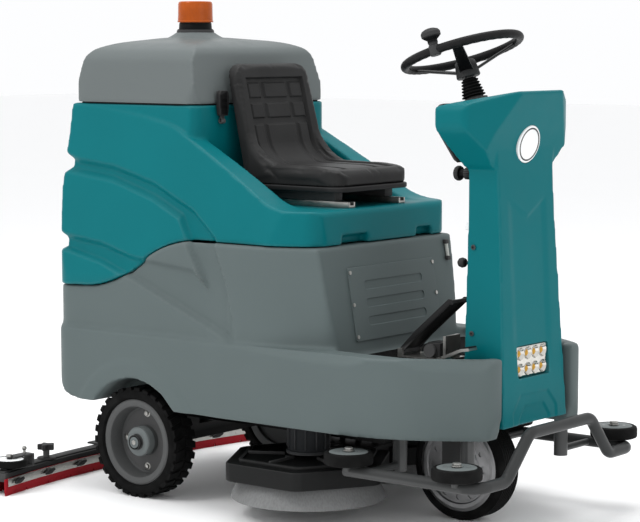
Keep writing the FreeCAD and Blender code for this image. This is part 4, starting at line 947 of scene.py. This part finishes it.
def tyre_lug(name, radius, low, high, thick, span, lean):
    """One tread lug: a wedge across half of the tyre, leaning forward."""
    put_down()
    bpy.ops.mesh.primitive_cube_add(size=1)
    lug = named(name)
    bpy.ops.object.mode_set(mode="EDIT")
    bpy.ops.mesh.subdivide(number_cuts=1)
    bpy.ops.object.mode_set(mode="OBJECT")
    for vertex in lug.data.vertices:
        across = vertex.co.y + 0.5
        out = radius - (thick if vertex.co.z < 0 else 0)
        shrink = 1 if vertex.co.z < 0 else 0.82
        angle = (vertex.co.x * span * shrink + lean * across) / radius
        vertex.co = Vector((out * math.cos(angle) * MM, (low + (high - low) * across) * MM,
                out * math.sin(angle) * MM))
    even_out(lug)
    return lug


class SCRUBBER_OT_rear_wheels(bpy.types.Operator):
    """Lugged rear tyres on dished rims with their bolts and hub caps"""
    bl_idname = "scrubber.rear_wheels"
    bl_label = "Rear wheels"

    def execute(self, context):
        inner = 262         # the tyre's inner side, from the machine's middle
        middle = spot(0, 0, WHEEL_HEIGHT)
        carcass = [
            (116.2, inner + 8), (121, inner + 1), (134, inner), (142, inner + 3), (145, inner + 10),
                (145, inner + 70),
            (142, inner + 77), (134, inner + 80), (121, inner + 79), (116.2, inner + 72),
        ]
        body = lathe("tyre_body", carcass, (-AXLE, 0, 0), "Y", 120)
        lugs = [body]
        count = look().lug_count
        for lane, (low, high, lean) in enumerate(((inner + 1, inner + 36, 9), (inner + 44, inner + 79, -9))):
            pattern = tyre_lug("lug", 149.6, low, high, 9.0, 22.0, lean)
            for n in range(count):
                angle = math.tau * (n + 0.5 * lane) / count
                lugs.append(twin(pattern, "lug_copy", turn=(Vector((0, 0, 0)), "Y", angle)))
            bpy.data.objects.remove(pattern)
        tyre = fuse("lugged_tyre_left", lugs)
        tyre.data.transform(Matrix.Translation(middle))
        rim = lathe("rim_body", [
            (12.6, inner + 10), (12.6, inner + 67), (20, inner + 68), (37, inner + 68), (40, inner + 65),
                (40, inner + 30),
            (44, inner + 28), (84, inner + 28), (90, inner + 32), (94, inner + 62), (97, inner + 72),
                (102, inner + 74.5),
            (112, inner + 74.5), (116, inner + 72), (116, inner + 6), (94, inner + 6), (94, inner + 18),
                (40, inner + 18),
            (40, inner + 10)], (-AXLE, 0, 0), "Y", 96)
        parts = [rim]
        rim.data.transform(Matrix.Translation(middle))
        for n in range(4):
            angle = math.radians(90 + 90 * n)
            x, z = 73 * math.cos(angle), WHEEL_HEIGHT + 73 * math.sin(angle)
            parts.append(bar("washer", (x, inner + 27, z), 10.5, 2.6, "Y", 24, 0.6))
            parts.append(hexagon("nut", (x, inner + 29, z), 13, 6.5, "Y"))
        plate_zone = lathe("rim_web", [(40.6, inner + 28.2), (40.6, inner + 29.2), (85, inner + 29.2),
                (85, inner + 28.2)], (-AXLE, 0, 0), "Y", 64)
        plate_zone.data.transform(Matrix.Translation(middle))
        plate_zone.data.materials.append(finish("black_plastic"))
        rim.data.materials.append(finish("rim_grey"))
        for part in parts[1:]:
            part.data.materials.append(finish("steel"))
        hub_ring = lathe("hub_ring", [(22, inner + 66), (22, inner + 69.5), (34, inner + 69.5),
                (38, inner + 67.5), (40.4, inner + 64), (40.4, inner + 44), (40, inner + 44)],
                         (-AXLE, 0, 0), "Y", 64)
        hub_ring.data.transform(Matrix.Translation(middle))
        hub_ring.data.materials.append(finish("lid_grey"))
        whole = fuse("dished_rim_left", [rim, plate_zone, hub_ring] + parts[1:])
        fit(tyre, "rear_wheel_left", "tyre", ["rear_tyre_left"], 35)
        fit(whole, "rear_wheel_left", "rim_grey", ["rear_rim_left"])
        for piece, name, node in ((tyre, "lugged_tyre_right", "rear_tyre_right"),
                (whole, "dished_rim_right", "rear_rim_right")):
            other = twin(piece, name, mirror=True)
            for key in list(other.keys()):
                del other[key]
            other.parent = None
            fit(other, "rear_wheel_right", "tyre" if "tyre" in node else "rim_grey", [node], 35)
        ends = []
        for side in (-1, 1):
            y = side * 336 - (8 if side < 0 else 0)
            out = 1 if side > 0 else -1
            collar = bar("collar", (0, y, WHEEL_HEIGHT), 20.3, 8.3, "Y", 48, 1.6)
            collar.data.materials.append(finish("black_plastic"))
            cap = bar("cap", (0, y + (7 if out > 0 else -1), WHEEL_HEIGHT), 15.5, 2, "Y", 48, 0.8)
            cap.data.materials.append(finish("lid_grey"))
            nut = hexagon("cap_nut", (0, y + (8.6 if out > 0 else -2.6), WHEEL_HEIGHT), 13, 2, "Y")
            nut.data.materials.append(finish("steel"))
            ends += [collar, cap, nut]
        fit(fuse("axle_caps", ends), "chassis", "steel")
        return {"FINISHED"}


class SCRUBBER_OT_drive_wheel(bpy.types.Operator):
    """Front drive tyre with a ribbed tread on its motor hub"""
    bl_idname = "scrubber.drive_wheel"
    bl_label = "Drive wheel"

    def execute(self, context):
        profile = [(116.2, -40), (128, -40), (134, -36), (138.6, -30)]
        for n in range(7):
            y = -27 + 9 * n
            profile += [(139.8, y - 3.2), (139.8, y + 3.2), (136.6, y + 3.8),
                    (136.6, y + 5.2)] if n < 6 else [(139.8, y - 3.2), (139.8, y + 3.2)]
        profile += [(138.6, 31), (134, 36), (128, 40), (116.2, 40)]
        tyre = lathe("ribbed_drive_tyre", profile, DRIVE, "Y", 96)
        fit(tyre, "drive_wheel", "tyre", ["drive_tyre"])
        hub = lathe("motor_hub", [
            (12.1, -45.8), (24, -45.8), (29, -44), (31, -42.4), (62, -41.5), (64, -38), (94, -37), (97, -41),
                (107, -41.5),
            (112, -38), (116, -37.6), (116, 37.6), (112, 38), (107, 41.5), (97, 41), (94, 37), (64, 38),
                (62, 41.5),
            (31, 42.4), (29, 44), (24, 45.8), (12.1, 45.8)], DRIVE, "Y", 96)
        for n in range(12):
            angle = math.tau * n / 12
            for side in (-44, 36):
                hole = bar("vent", (DRIVE[0] + 79 * math.cos(angle), side - 4, DRIVE[2] + 79 * math.sin(angle)),
                        6.5 if n % 2 else 10, 14, "Y", 20)
                carve(hub, hole)
        fit(hub, "drive_wheel", "hub_steel", ["drive_hub"], 30)
        return {"FINISHED"}


class SCRUBBER_OT_rollers(bpy.types.Operator):
    """Rubber guide rollers with their pale discs and bolts"""
    bl_idname = "scrubber.rollers"
    bl_label = "Guide rollers"

    def execute(self, context):
        for end, x in (("front", 1071), ("rear", 745)):
            for side, y in (("right", -364), ("left", 364)):
                node = "roller_%s_%s" % (end, side)
                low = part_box(node)[0].z / MM
                tread = lathe("tread", [(8.05, 0), (56, 0), (60.5, 2), (62, 6), (62, 24), (60, 29), (55, 31.8),
                        (51, 31.8), (50, 29.5), (8.05, 29.5)],
                              (x, y, low), "Z", 96)
                tread.data.materials.append(finish("rubber"))
                disc = lathe("disc", [(8.1, 29.6), (48, 29.6), (49, 31), (47, 31.9), (17, 31.9), (16, 31),
                        (8.1, 31)], (x, y, low), "Z", 72)
                disc.data.materials.append(finish("lid_grey"))
                parts = [tread, disc]
                for turn in (0.6, 0.6 + math.pi):
                    screw = bar("screw", (x + 27 * math.cos(turn), y + 27 * math.sin(turn), low + 31), 4.2,
                            0.95, "Z", 16)
                    screw.data.materials.append(finish("steel"))
                    parts.append(screw)
                fit(fuse("guide_" + node, parts), node, "rubber", [node])
                bolt = hexagon("guide_bolt_%s_%s" % (end, side), (x, y, low + 35.2), 19, 7)
                washer = bar("guide_washer", (x, y, low + 33), 13, 2.4, "Z", 32, 0.6)
                fit(fuse("guide_bolt_%s_%s" % (end, side), [bolt, washer]), "chassis", "steel")
        for side, y in (("right", -END_ROLLER_Y), ("left", END_ROLLER_Y)):
            node = "end_roller_" + side
            low_corner, high_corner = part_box(node)
            x = (low_corner.x + high_corner.x) / 2 / MM - AXLE
            low = low_corner.z / MM
            tread = lathe("tread", [(7.05, 0), (45, 0), (48.4, 2), (49, 5), (49, 15), (48, 18), (45, 19.9),
                    (40, 19.9), (39, 18), (7.05, 18)],
                          (x, y, low), "Z", 96)
            tread.data.materials.append(finish("rubber"))
            disc = lathe("disc", [(7.1, 18.1), (37, 18.1), (38, 19), (36, 19.9), (14, 19.9), (13, 19),
                    (7.1, 19)], (x, y, low), "Z", 64)
            disc.data.materials.append(finish("white_badge"))
            fit(fuse("squeegee_" + node, [tread, disc]), node, "rubber", [node])
        return {"FINISHED"}


def hex_outline(x, y, radius, cut):
    """The deck housing's six corners."""
    return [(x + radius * math.cos(math.tau * n / 6), y + radius * math.sin(math.tau * n / 6),
            cut) for n in range(6)]


class SCRUBBER_OT_brush_deck(bpy.types.Operator):
    """Six-sided deck housings with motors, and the disc brushes under them"""
    bl_idname = "scrubber.brush_deck"
    bl_label = "Brush deck and brushes"

    def execute(self, context):
        x = DECK_X
        parts = []
        for y in (-BRUSH_Y, BRUSH_Y):
            shell = slab("housing", hex_outline(x, y, 232, 20), "Z", 104.2, 152)
            carve(shell, slab("under", hex_outline(x, y, 224, 18), "Z", 90, 146))
            soften(shell, 3.0, 3)
            step = slab("step", hex_outline(x, y, 196, 16), "Z", 151, 160)
            soften(step, 2.5, 2)
            dish = slab("dish", hex_outline(x, y, 184, 14), "Z", 156, 170)
            carve(step, dish)
            parts += [shell, step]
            for n in range(6):
                angle = math.tau * (n + 0.5) / 6
                rib = chunk("rib", (x + 62, y - 3, 152), (x + 160, y + 3, 163.5), 1.0)
                parts.append(turned(rib, spot(x, y, 0), "Z", angle))
            for n in range(3):
                angle = math.tau * n / 3 + 0.4
                parts.append(hexagon("deck_bolt", (x + 74 * math.cos(angle), y + 74 * math.sin(angle), 156), 13,
                        8))
        parts.append(chunk("bridge", (x - 90, -70, 138.2), (x + 90, 70, 163.5), 3.0, 3))
        for along, radius, top in ((0, 9, 309), (-55, 8, 275.5), (55, 8, 275.5)):
            guide = bar("guide_rod", (x + along, 0, 160), radius, top - 160, "Z", 32, 0.8)
            parts.append(guide)
        fit(fuse("deck_housing", parts), "brush_deck", "frame_black", ["brush_deck"], 30)
        motors = []
        for y in (-BRUSH_Y, BRUSH_Y):
            motors.append(lathe("motor_can", [
                (0, 164.2), (58, 164.2), (58, 172), (54, 174), (54, 236), (57, 239), (57, 252), (52, 259.5),
                    (46, 260.5),
                (46, 276), (42, 279.5), (0, 279.5)], (x, y, 0), "Z", 72))
            for n in range(12):
                fin = chunk("fin", (x + 52, y - 1.5, 178), (x + 57.5, y + 1.5, 232), 0.5)
                motors.append(turned(fin, spot(x, y, 0), "Z", math.tau * n / 12))
        fit(fuse("deck_motors", motors), "brush_deck", "motor_metal", ["brush_motors"])
        for side, y in (("right", -BRUSH_Y), ("left", BRUSH_Y)):
            node = "brush_" + side
            skirt = lathe("bristles", [
                (88, 48), (90, 48.2), (200, 48.2), (203, 50), (201, 58), (196, 68), (188, 82), (179, 98),
                    (174, 102), (70, 102)], (x, y, 0), "Z", 240)
            middle = spot(x, y, 0)
            for vertex in skirt.data.vertices:
                away = vertex.co - middle
                turn = math.atan2(away.y, away.x)
                if away.xy.length > 0.15 and vertex.co.z < 0.1:
                    share = 1 - 0.006 * (0.5 + 0.5 * math.sin(turn * 120))
                    vertex.co.x, vertex.co.y = middle.x + away.x * share, middle.y + away.y * share
            skirt.data.materials.append(finish("bristle"))
            block = lathe("carrier", [
                (0, 102), (177, 102), (178, 104), (176, 118), (172, 122.5), (60, 122.5), (44, 124), (36, 126),
                    (30, 142), (11, 142),
                (11, 163.8), (0, 163.8)], (x, y, 0), "Z", 96)
            block.data.materials.append(finish("black_plastic"))
            fit(fuse("disc_" + node, [skirt, block]), node, "bristle", [node], 60)
        return {"FINISHED"}


BEND, BLADE_FRONT = 2443.0, -344.0


def bowed(piece):
    """Bend a straight piece, made square across the machine, along the squeegee's arc."""
    for vertex in piece.data.vertices:
        behind = BLADE_FRONT - (vertex.co.x / MM - AXLE)
        angle = vertex.co.y / MM / BEND
        reach = BEND + behind
        vertex.co.x = (AXLE + BEND + BLADE_FRONT - reach * math.cos(angle)) * MM
        vertex.co.y = reach * math.sin(angle) * MM
    piece.data.update()
    return piece


def strip(name, behind, low, half, round_mm=0.0, cuts=40):
    """A straight strip across the machine, cut into short lengths so that it can bend."""
    near, far = behind
    piece = chunk(name, (BLADE_FRONT - far, -half, low[0]), (BLADE_FRONT - near, half, low[1]), round_mm)
    pick_up(piece)
    for n in range(1, cuts):
        bpy.ops.object.mode_set(mode="EDIT")
        bpy.ops.mesh.select_all(action="SELECT")
        bpy.ops.mesh.bisect(plane_co=(0, (-half + 2 * half * n / cuts) * MM, 0), plane_no=(0, 1, 0))
        bpy.ops.object.mode_set(mode="OBJECT")
    return piece


class SCRUBBER_OT_squeegee(bpy.types.Operator):
    """Bowed squeegee with notched red blades, steel strips, wing clamps and star knobs"""
    bl_idname = "scrubber.squeegee"
    bl_label = "Squeegee"

    def execute(self, context):
        half = BEND * math.asin(554 / BEND)
        pitch = look().notch_pitch / MM
        blades = []
        for (near, far), reach in (((0, 4), half), ((56, 60), half - 8)):
            blades.append(bowed(strip("blade", (near, far), (7, 46), reach, 0.6)))
            count = int(round(2 * reach / pitch))
            for n in range(count):
                start = -reach + 2 * reach * n / count
                end = -reach + 2 * reach * (n + 1) / count
                tooth = strip("tooth", (near, far), (0, 7.2), 10, 0.0, 1)
                for vertex in tooth.data.vertices:
                    share = 0 if vertex.co.y < 0 else 1
                    vertex.co.y = ((start + 2.2) * (1 - share) + (end - 2.2) * share) * MM
                blades.append(bowed(tooth))
        fit(fuse("red_blades", blades), "squeegee", "red_rubber", ["squeegee_blades"], 30)
        strips = [bowed(strip("front_strip", (-2.6, -0.1), (24, 46), half - 12, 0.5)),
                  bowed(strip("rear_strip", (60.1, 62.6), (24, 46), half - 20, 0.5))]
        for n in range(14):
            y = -half + 40 + (2 * half - 80) * n / 13
            rivet = lathe("rivet", [(0, 0), (4, 0), (3.4, 1.4), (0, 1.8)], (BLADE_FRONT + 2.4, y, 32), "X", 16)
            strips.append(bowed(rivet))
        fit(fuse("steel_strips", strips), "squeegee", "steel", ["squeegee_straps"], 30)
        clamps = []
        for n in range(8):
            y = (n / 7 * 1.8 - 0.9) * half
            foot = bar("clamp_foot", (BLADE_FRONT + 2.4, y, 35), 8, 6, "X", 24, 0.8)
            wing = slab("clamp_wing", [(y - 21, 29, 2), (y - 6, 28, 1), (y + 6, 29, 1), (y + 21, 37, 2),
                    (y + 19, 43, 2), (y + 5, 42, 1), (y - 6, 41, 1), (y - 20, 36, 2)],
                        "X", BLADE_FRONT + 7.0, BLADE_FRONT + 13.0)
            soften(wing, 1.2, 2)
            clamps += [bowed(foot), bowed(wing)]
        fit(fuse("wing_clamps", clamps), "squeegee", "black_plastic", (), 30)
        beam = bowed(strip("beam", (4.1, 55.9), (37, 60), half - 6, 3.0))
        lip = bowed(strip("beam_lip", (12, 48), (58, 64), half - 14, 2.0))
        parts = [beam, lip]
        port = lathe("hose_port", [(20, 50), (24, 50), (24, 112), (22.5, 116), (20, 116)], (PORT_X, 0, 0), "Z",
                48)
        parts.append(port)
        for side in (-1, 1):
            y = side * END_ROLLER_Y
            x = PORT_X + END_ROLLER_Y ** 2 / (2 * BEND)
            for z in (60, 92):
                parts.append(chunk("roller_fork", (x - 17, min(y, y - side * 78), z),
                        (x + 17, max(y, y - side * 78), z + 4), 1.2))
            parts.append(chunk("fork_web", (x - 17, min(y - side * 78, y - side * 70), 62),
                    (x + 17, max(y - side * 78, y - side * 70), 94), 1.2))
            parts.append(bar("fork_stem", (x, y, 64), 7, 36, "Z", 32, 1.0))
        fit(fuse("squeegee_beam_body", parts), "squeegee", "black_plastic", ["squeegee_beam"], 30)
        bolts = []
        for side in (-1, 1):
            y = side * END_ROLLER_Y
            x = PORT_X + END_ROLLER_Y ** 2 / (2 * BEND)
            bolts.append(hexagon("roller_nut", (x, y, 96), 17, 6))
            bolts.append(bar("eye_stem", (x, y - side * 56, 90), 3.5, 20, "Z", 16))
            bolts.append(lathe("eye_ball", [(0, 104), (5, 106), (7, 111), (5, 116), (0, 118)],
                    (x, y - side * 56, 0), "Z", 24))
        fit(fuse("roller_nuts", bolts), "squeegee", "steel")
        knobs = []
        for side in (-1, 1):
            x, y = PORT_X + 2 + STAR_Y ** 2 / (2 * BEND), side * STAR_Y
            outline = []
            for n in range(20):
                radius = 25 if n % 4 in (0, 1) else 17
                outline.append((x + radius * math.cos(math.tau * n / 20),
                        y + radius * math.sin(math.tau * n / 20), 2))
            star = slab("star_knob", outline, "Z", 88, 104)
            soften(star, 2.0, 2)
            knobs += [star, bar("knob_post", (x, y, 62), 9, 28, "Z", 32),
                    bar("knob_foot", (x, y, 62), 26, 5, "Z", 48, 1.5)]
        fit(fuse("star_knobs", knobs), "squeegee", "black_plastic", (), 30)
        return {"FINISHED"}


def pedal_slab(name, line, thick, wide, heel, across):
    """A foot plate drawn edge on as (x, z) pairs from its heel."""
    below = [(x + thick * 0.4, z - thick) for x, z in reversed(line)]
    outline = [(heel[0] + x, heel[1] + z, 1.5) for x, z in list(line) + below]
    return slab(name, outline, "Y", across - wide / 2, across + wide / 2)


class SCRUBBER_OT_footwell(bpy.types.Operator):
    """Ribbed mat, pedals, bolted access panel and water level tube"""
    bl_idname = "scrubber.footwell"
    bl_label = "Footwell"

    def execute(self, context):
        mat = [slab("mat", [(646, -284, 10), (866, -292, 40), (1028, -190, 20), (1028, -166, 0), (916, -166, 0),
                (916, 166, 0), (1028, 166, 0),
                            (1028, 190, 20), (866, 292, 40), (646, 284, 10)], "Z", 424.1, 426.2)]
        for n in range(21):
            x = 650 + 12.4 * n
            mat.append(chunk("rib", (x, -270, 425.8), (x + 6, 270, 427.9), 0.8))
        fit(fuse("ribbed_mat", mat), "chassis", "rubber", ["foot_mat"], 30)
        heel = (742, 442)
        tread = pedal_slab("accelerator_tread", [(-3, 7), (40, 50), (146, 141), (153, 141)], 8, 66, heel, -103)
        soften(tread, 1.2, 2)
        parts = [tread]
        for side in (-1, 1):
            edge = pedal_slab("side_rail", [(-3, 10), (40, 54), (144, 144), (152, 144)], 14, 5, heel,
                    -103 + side * 34)
            parts.append(soften(edge, 1.2, 2))
        for n in range(9):
            share = n / 8
            x, z = 742 + 46 + 92 * share, 442 + 55 + 79 * share
            parts.append(bar("tread_bar", (x, -103 - 28, z + 0.5), 2.6, 56, "Y", 12))
        parts.append(lathe("heel_tube", [(4.06, -138), (8, -138), (8, -68), (4.06, -68)], (742, 0, 442), "Y",
                32))
        fit(fuse("accelerator", parts), "accelerator_pedal", "black_plastic", ["accelerator_pedal"], 30)
        heel = (904, 440)
        tread = pedal_slab("brake_tread", [(-3, 7), (60, 33), (84, 37)], 7, 36, heel, -180)
        tread.data.materials.append(finish("steel"))
        pad = pedal_slab("brake_pad", [(26, 21), (62, 36), (84, 40)], 3.2, 34, heel, -180)
        pad.data.materials.append(finish("rubber"))
        tube = lathe("brake_tube", [(4.06, -198), (8, -198), (8, -162), (4.06, -162)], (904, 0, 440), "Y", 32)
        tube.data.materials.append(finish("steel"))
        fit(fuse("brake", [tread, pad, tube]), "brake_pedal", "steel", ["brake_pedal"], 30)
        box = chunk("pedal_sensor", (812, -126, 428.6), (852, -76, 470), 3.0, 3)
        cap = lathe("sensor_cap", [(0, 0), (17, 0), (17, 8), (14, 10), (0, 10)], (826, -136, 470 - 20), "Y", 40)
        fit(fuse("pedal_sensor", [box, cap]), "chassis", "black_plastic")

        lean = 48 / 282
        panel = slab("access_cover", [(-188, 461, 6), (188, 461, 6), (188, 649, 6), (-188, 649, 6)], "X", 0, 4)
        for n in range(3):
            level = 509 + 46 * n
            pressing = slab("pressing", [(-128, level - 11, 10), (128, level - 11, 10), (128, level + 11, 10),
                    (-128, level + 11, 10)], "X", 1.4, 20)
            carve(panel, pressing)
        soften(panel, 1.0, 2, 50)
        for vertex in panel.data.vertices:
            vertex.co.x += (592 + lean * (706 - vertex.co.z / MM)) * MM
        fit(panel, "chassis", "body_grey", ["access_panel"], 20)

        tube = bar("level_tube", (0, 257, 646), 4.5, 36, "Z", 24, 0.8)
        ends = [chunk("tube_end", (-6, 249, z), (6, 265, z + 12), 3.0) for z in (636, 680)]
        for piece in [tube] + ends:
            for vertex in piece.data.vertices:
                vertex.co.x += (592 + 5.4 + lean * (706 - vertex.co.z / MM)) * MM
        fit(tube, "chassis", "water_tank")
        fit(fuse("tube_ends", ends), "chassis", "black_plastic")
        return {"FINISHED"}


class SCRUBBER_OT_controls(bpy.types.Operator):
    """Stop button, key, pull knob, lamp, blank badge, lid latch and screws"""
    bl_idname = "scrubber.controls"
    bl_label = "Controls and lamp"

    def execute(self, context):
        y = HAND
        stop = lathe("stop_button", [(0, 869.2), (12, 869.6), (17, 872), (19, 876), (19, 881), (17, 884.6),
                (10.5, 885), (9.98, 890), (9.98, 924.8), (0, 924.8)],
                     (0, y, 899), "X", 56)
        fit(stop, "emergency_stop", "black_plastic", ["emergency_stop"])
        knob = lathe("pull_knob", [(0, 878), (6, 879), (11, 883.5), (13, 891), (11, 898.5), (6, 903), (4, 904),
                (3.98, 966.8), (0, 966.8)], (0, y, 674), "X", 40)
        fit(knob, "solution_knob", "black_plastic", ["solution_knob"])
        key = lathe("key_barrel", [(0, 915.2), (8, 915.2), (10, 917), (10, 935.4), (0, 935.4)], (0, y, 766),
                "X", 40)
        bow_grip = slab("key_bow", [(y - 3, 757.2, 1), (y + 3, 757.2, 1), (y + 3, 774.8, 1), (y - 3, 774.8, 1)],
                "X", 901.4, 916)
        soften(bow_grip, 1.4, 3)
        fit(fuse("key_knob", [key, bow_grip]), "key_switch", "white_badge", ["key_switch"])

        shell = chunk("lamp_shell", (1004, -70, 391.2), (1045, 70, 470.8), 5.0, 3)
        cups, bulbs = [shell], []
        for z in (411, 451):
            for n in range(4):
                cup_y = -51 + 34 * n
                carve(shell, bar("cup_hole", (1030, cup_y, z), 15.6, 30, "X", 40))
                cups.append(lathe("cup", [(4, 1031), (5, 1031), (10, 1035), (15, 1043), (16.6, 1045.6),
                        (15.9, 1046.4), (14, 1044), (8.6, 1036.4), (4, 1032.4)],
                                  (0, cup_y, z), "X", 40))
                bulbs.append(lathe("bulb", [(0, 1030), (6.5, 1030), (8.4, 1037), (7.4, 1041), (4, 1043.6),
                        (0, 1044.2)], (0, cup_y, z), "X", 28))
        fit(fuse("lamp_cups", cups), "chassis", "lamp_metal", ["headlight"], 30)
        fit(fuse("lamp_bulbs", bulbs), "chassis", "lamp_amber")
        badge = lathe("badge", [(0, -14), (48, -14), (48, 0), (46.6, 1.6), (45, 2), (0, 2)], BADGE, "X", 96)
        badge.data.materials.append(finish("white_badge"))
        ring = lathe("badge_ring", [(38.6, 1.9), (42.6, 1.9), (42.6, 2.6), (38.6, 2.6)], BADGE, "X", 96)
        ring.data.materials.append(finish("black_plastic"))
        # the badge leans back with the cowl's face
        for piece in (badge, ring):
            turned(piece, spot(*BADGE), "Y", math.radians(12))
        fit(fuse("blank_badge", [badge, ring]), "chassis", "white_badge", ["badge_plate"])

        arm = chunk("latch_arm", (174, -188, 1018), (181, -174, 1060), 1.2)
        handle = slab("latch_handle", [(-196, 1030, 3), (-166, 1030, 3), (-162, 1052, 3), (-162, 1088, 4),
                (-168, 1097, 3), (-194, 1097, 3), (-200, 1088, 4), (-200, 1052, 3)], "X", 173.6, 186.8)
        soften(handle, 1.6, 2)
        eye = lathe("latch_eye", [(3.06, -188), (7, -188), (7, -174), (3.06, -174)], (178, 0, 1016), "Y", 28)
        hook = chunk("latch_hook", (166, -190, 1084.2), (178, -172, 1095.8), 1.5)
        for slot_z in (1048, 1066):
            carve(handle, chunk("finger_slot", (184.8, -192, slot_z), (190, -170, slot_z + 8)))
        fit(fuse("latch_toggle", [arm, handle, eye, hook]), "lid_latch", "black_plastic", ["lid_latch"], 30)

        screws = []
        for side in (-1, 1):
            for z, x, half in ((720, 956, 132), (505, 958, 140), (934, 955, 127)):
                screws.append(lathe("side_screw", [(0, 0), (6.5, 0), (6.5, 1.2), (5, 2.4), (2, 2.4), (2, 1.2),
                        (0, 1.2)], (x, side * half, z), "Y", 24))
                if side < 0:
                    turned(screws[-1], spot(x, side * half, z), "X", math.pi)
        fit(fuse("column_screws", screws), "chassis", "black_plastic")
        return {"FINISHED"}


STEPS = (
    SCRUBBER_OT_stage, SCRUBBER_OT_lower_body, SCRUBBER_OT_recovery_tank, SCRUBBER_OT_tank_lid,
        SCRUBBER_OT_column,
    SCRUBBER_OT_seat, SCRUBBER_OT_steering, SCRUBBER_OT_rear_wheels, SCRUBBER_OT_drive_wheel,
        SCRUBBER_OT_rollers,
    SCRUBBER_OT_brush_deck, SCRUBBER_OT_squeegee, SCRUBBER_OT_footwell, SCRUBBER_OT_controls,
)


class SCRUBBER_PT_panel(bpy.types.Panel):
    """Lists the machine's pieces"""
    bl_idname = "SCRUBBER_PT_panel"
    bl_label = "Floor Scrubber"
    bl_space_type = "VIEW_3D"
    bl_region_type = "UI"
    bl_category = "Scrubber"

    def draw(self, context):
        for step in STEPS:
            self.layout.operator(step.bl_idname)


CLASSES = (ScrubberLook, SizesOfRoom, *STEPS, SCRUBBER_PT_panel)


def register():
    for kind in CLASSES:
        bpy.utils.register_class(kind)
    bpy.types.Scene.scrubber_look = bpy.props.PointerProperty(type=ScrubberLook)
    bpy.types.Scene.scrubber_room = bpy.props.PointerProperty(type=SizesOfRoom)


def unregister():
    del bpy.types.Scene.scrubber_room
    del bpy.types.Scene.scrubber_look
    for kind in reversed(CLASSES):
        bpy.utils.unregister_class(kind)


def main():
    register()
    mix_finishes(look())
    for entry in frame["record"]["subparts"]:
        carried = NODES[entry["node"]]
        carried.data.materials.clear()
        carried.data.materials.append(finish(entry["material_slot"]))
    for step in STEPS:
        family, action = step.bl_idname.split(".")
        getattr(getattr(bpy.ops, family), action)()


if __name__ == "__main__":
    main()
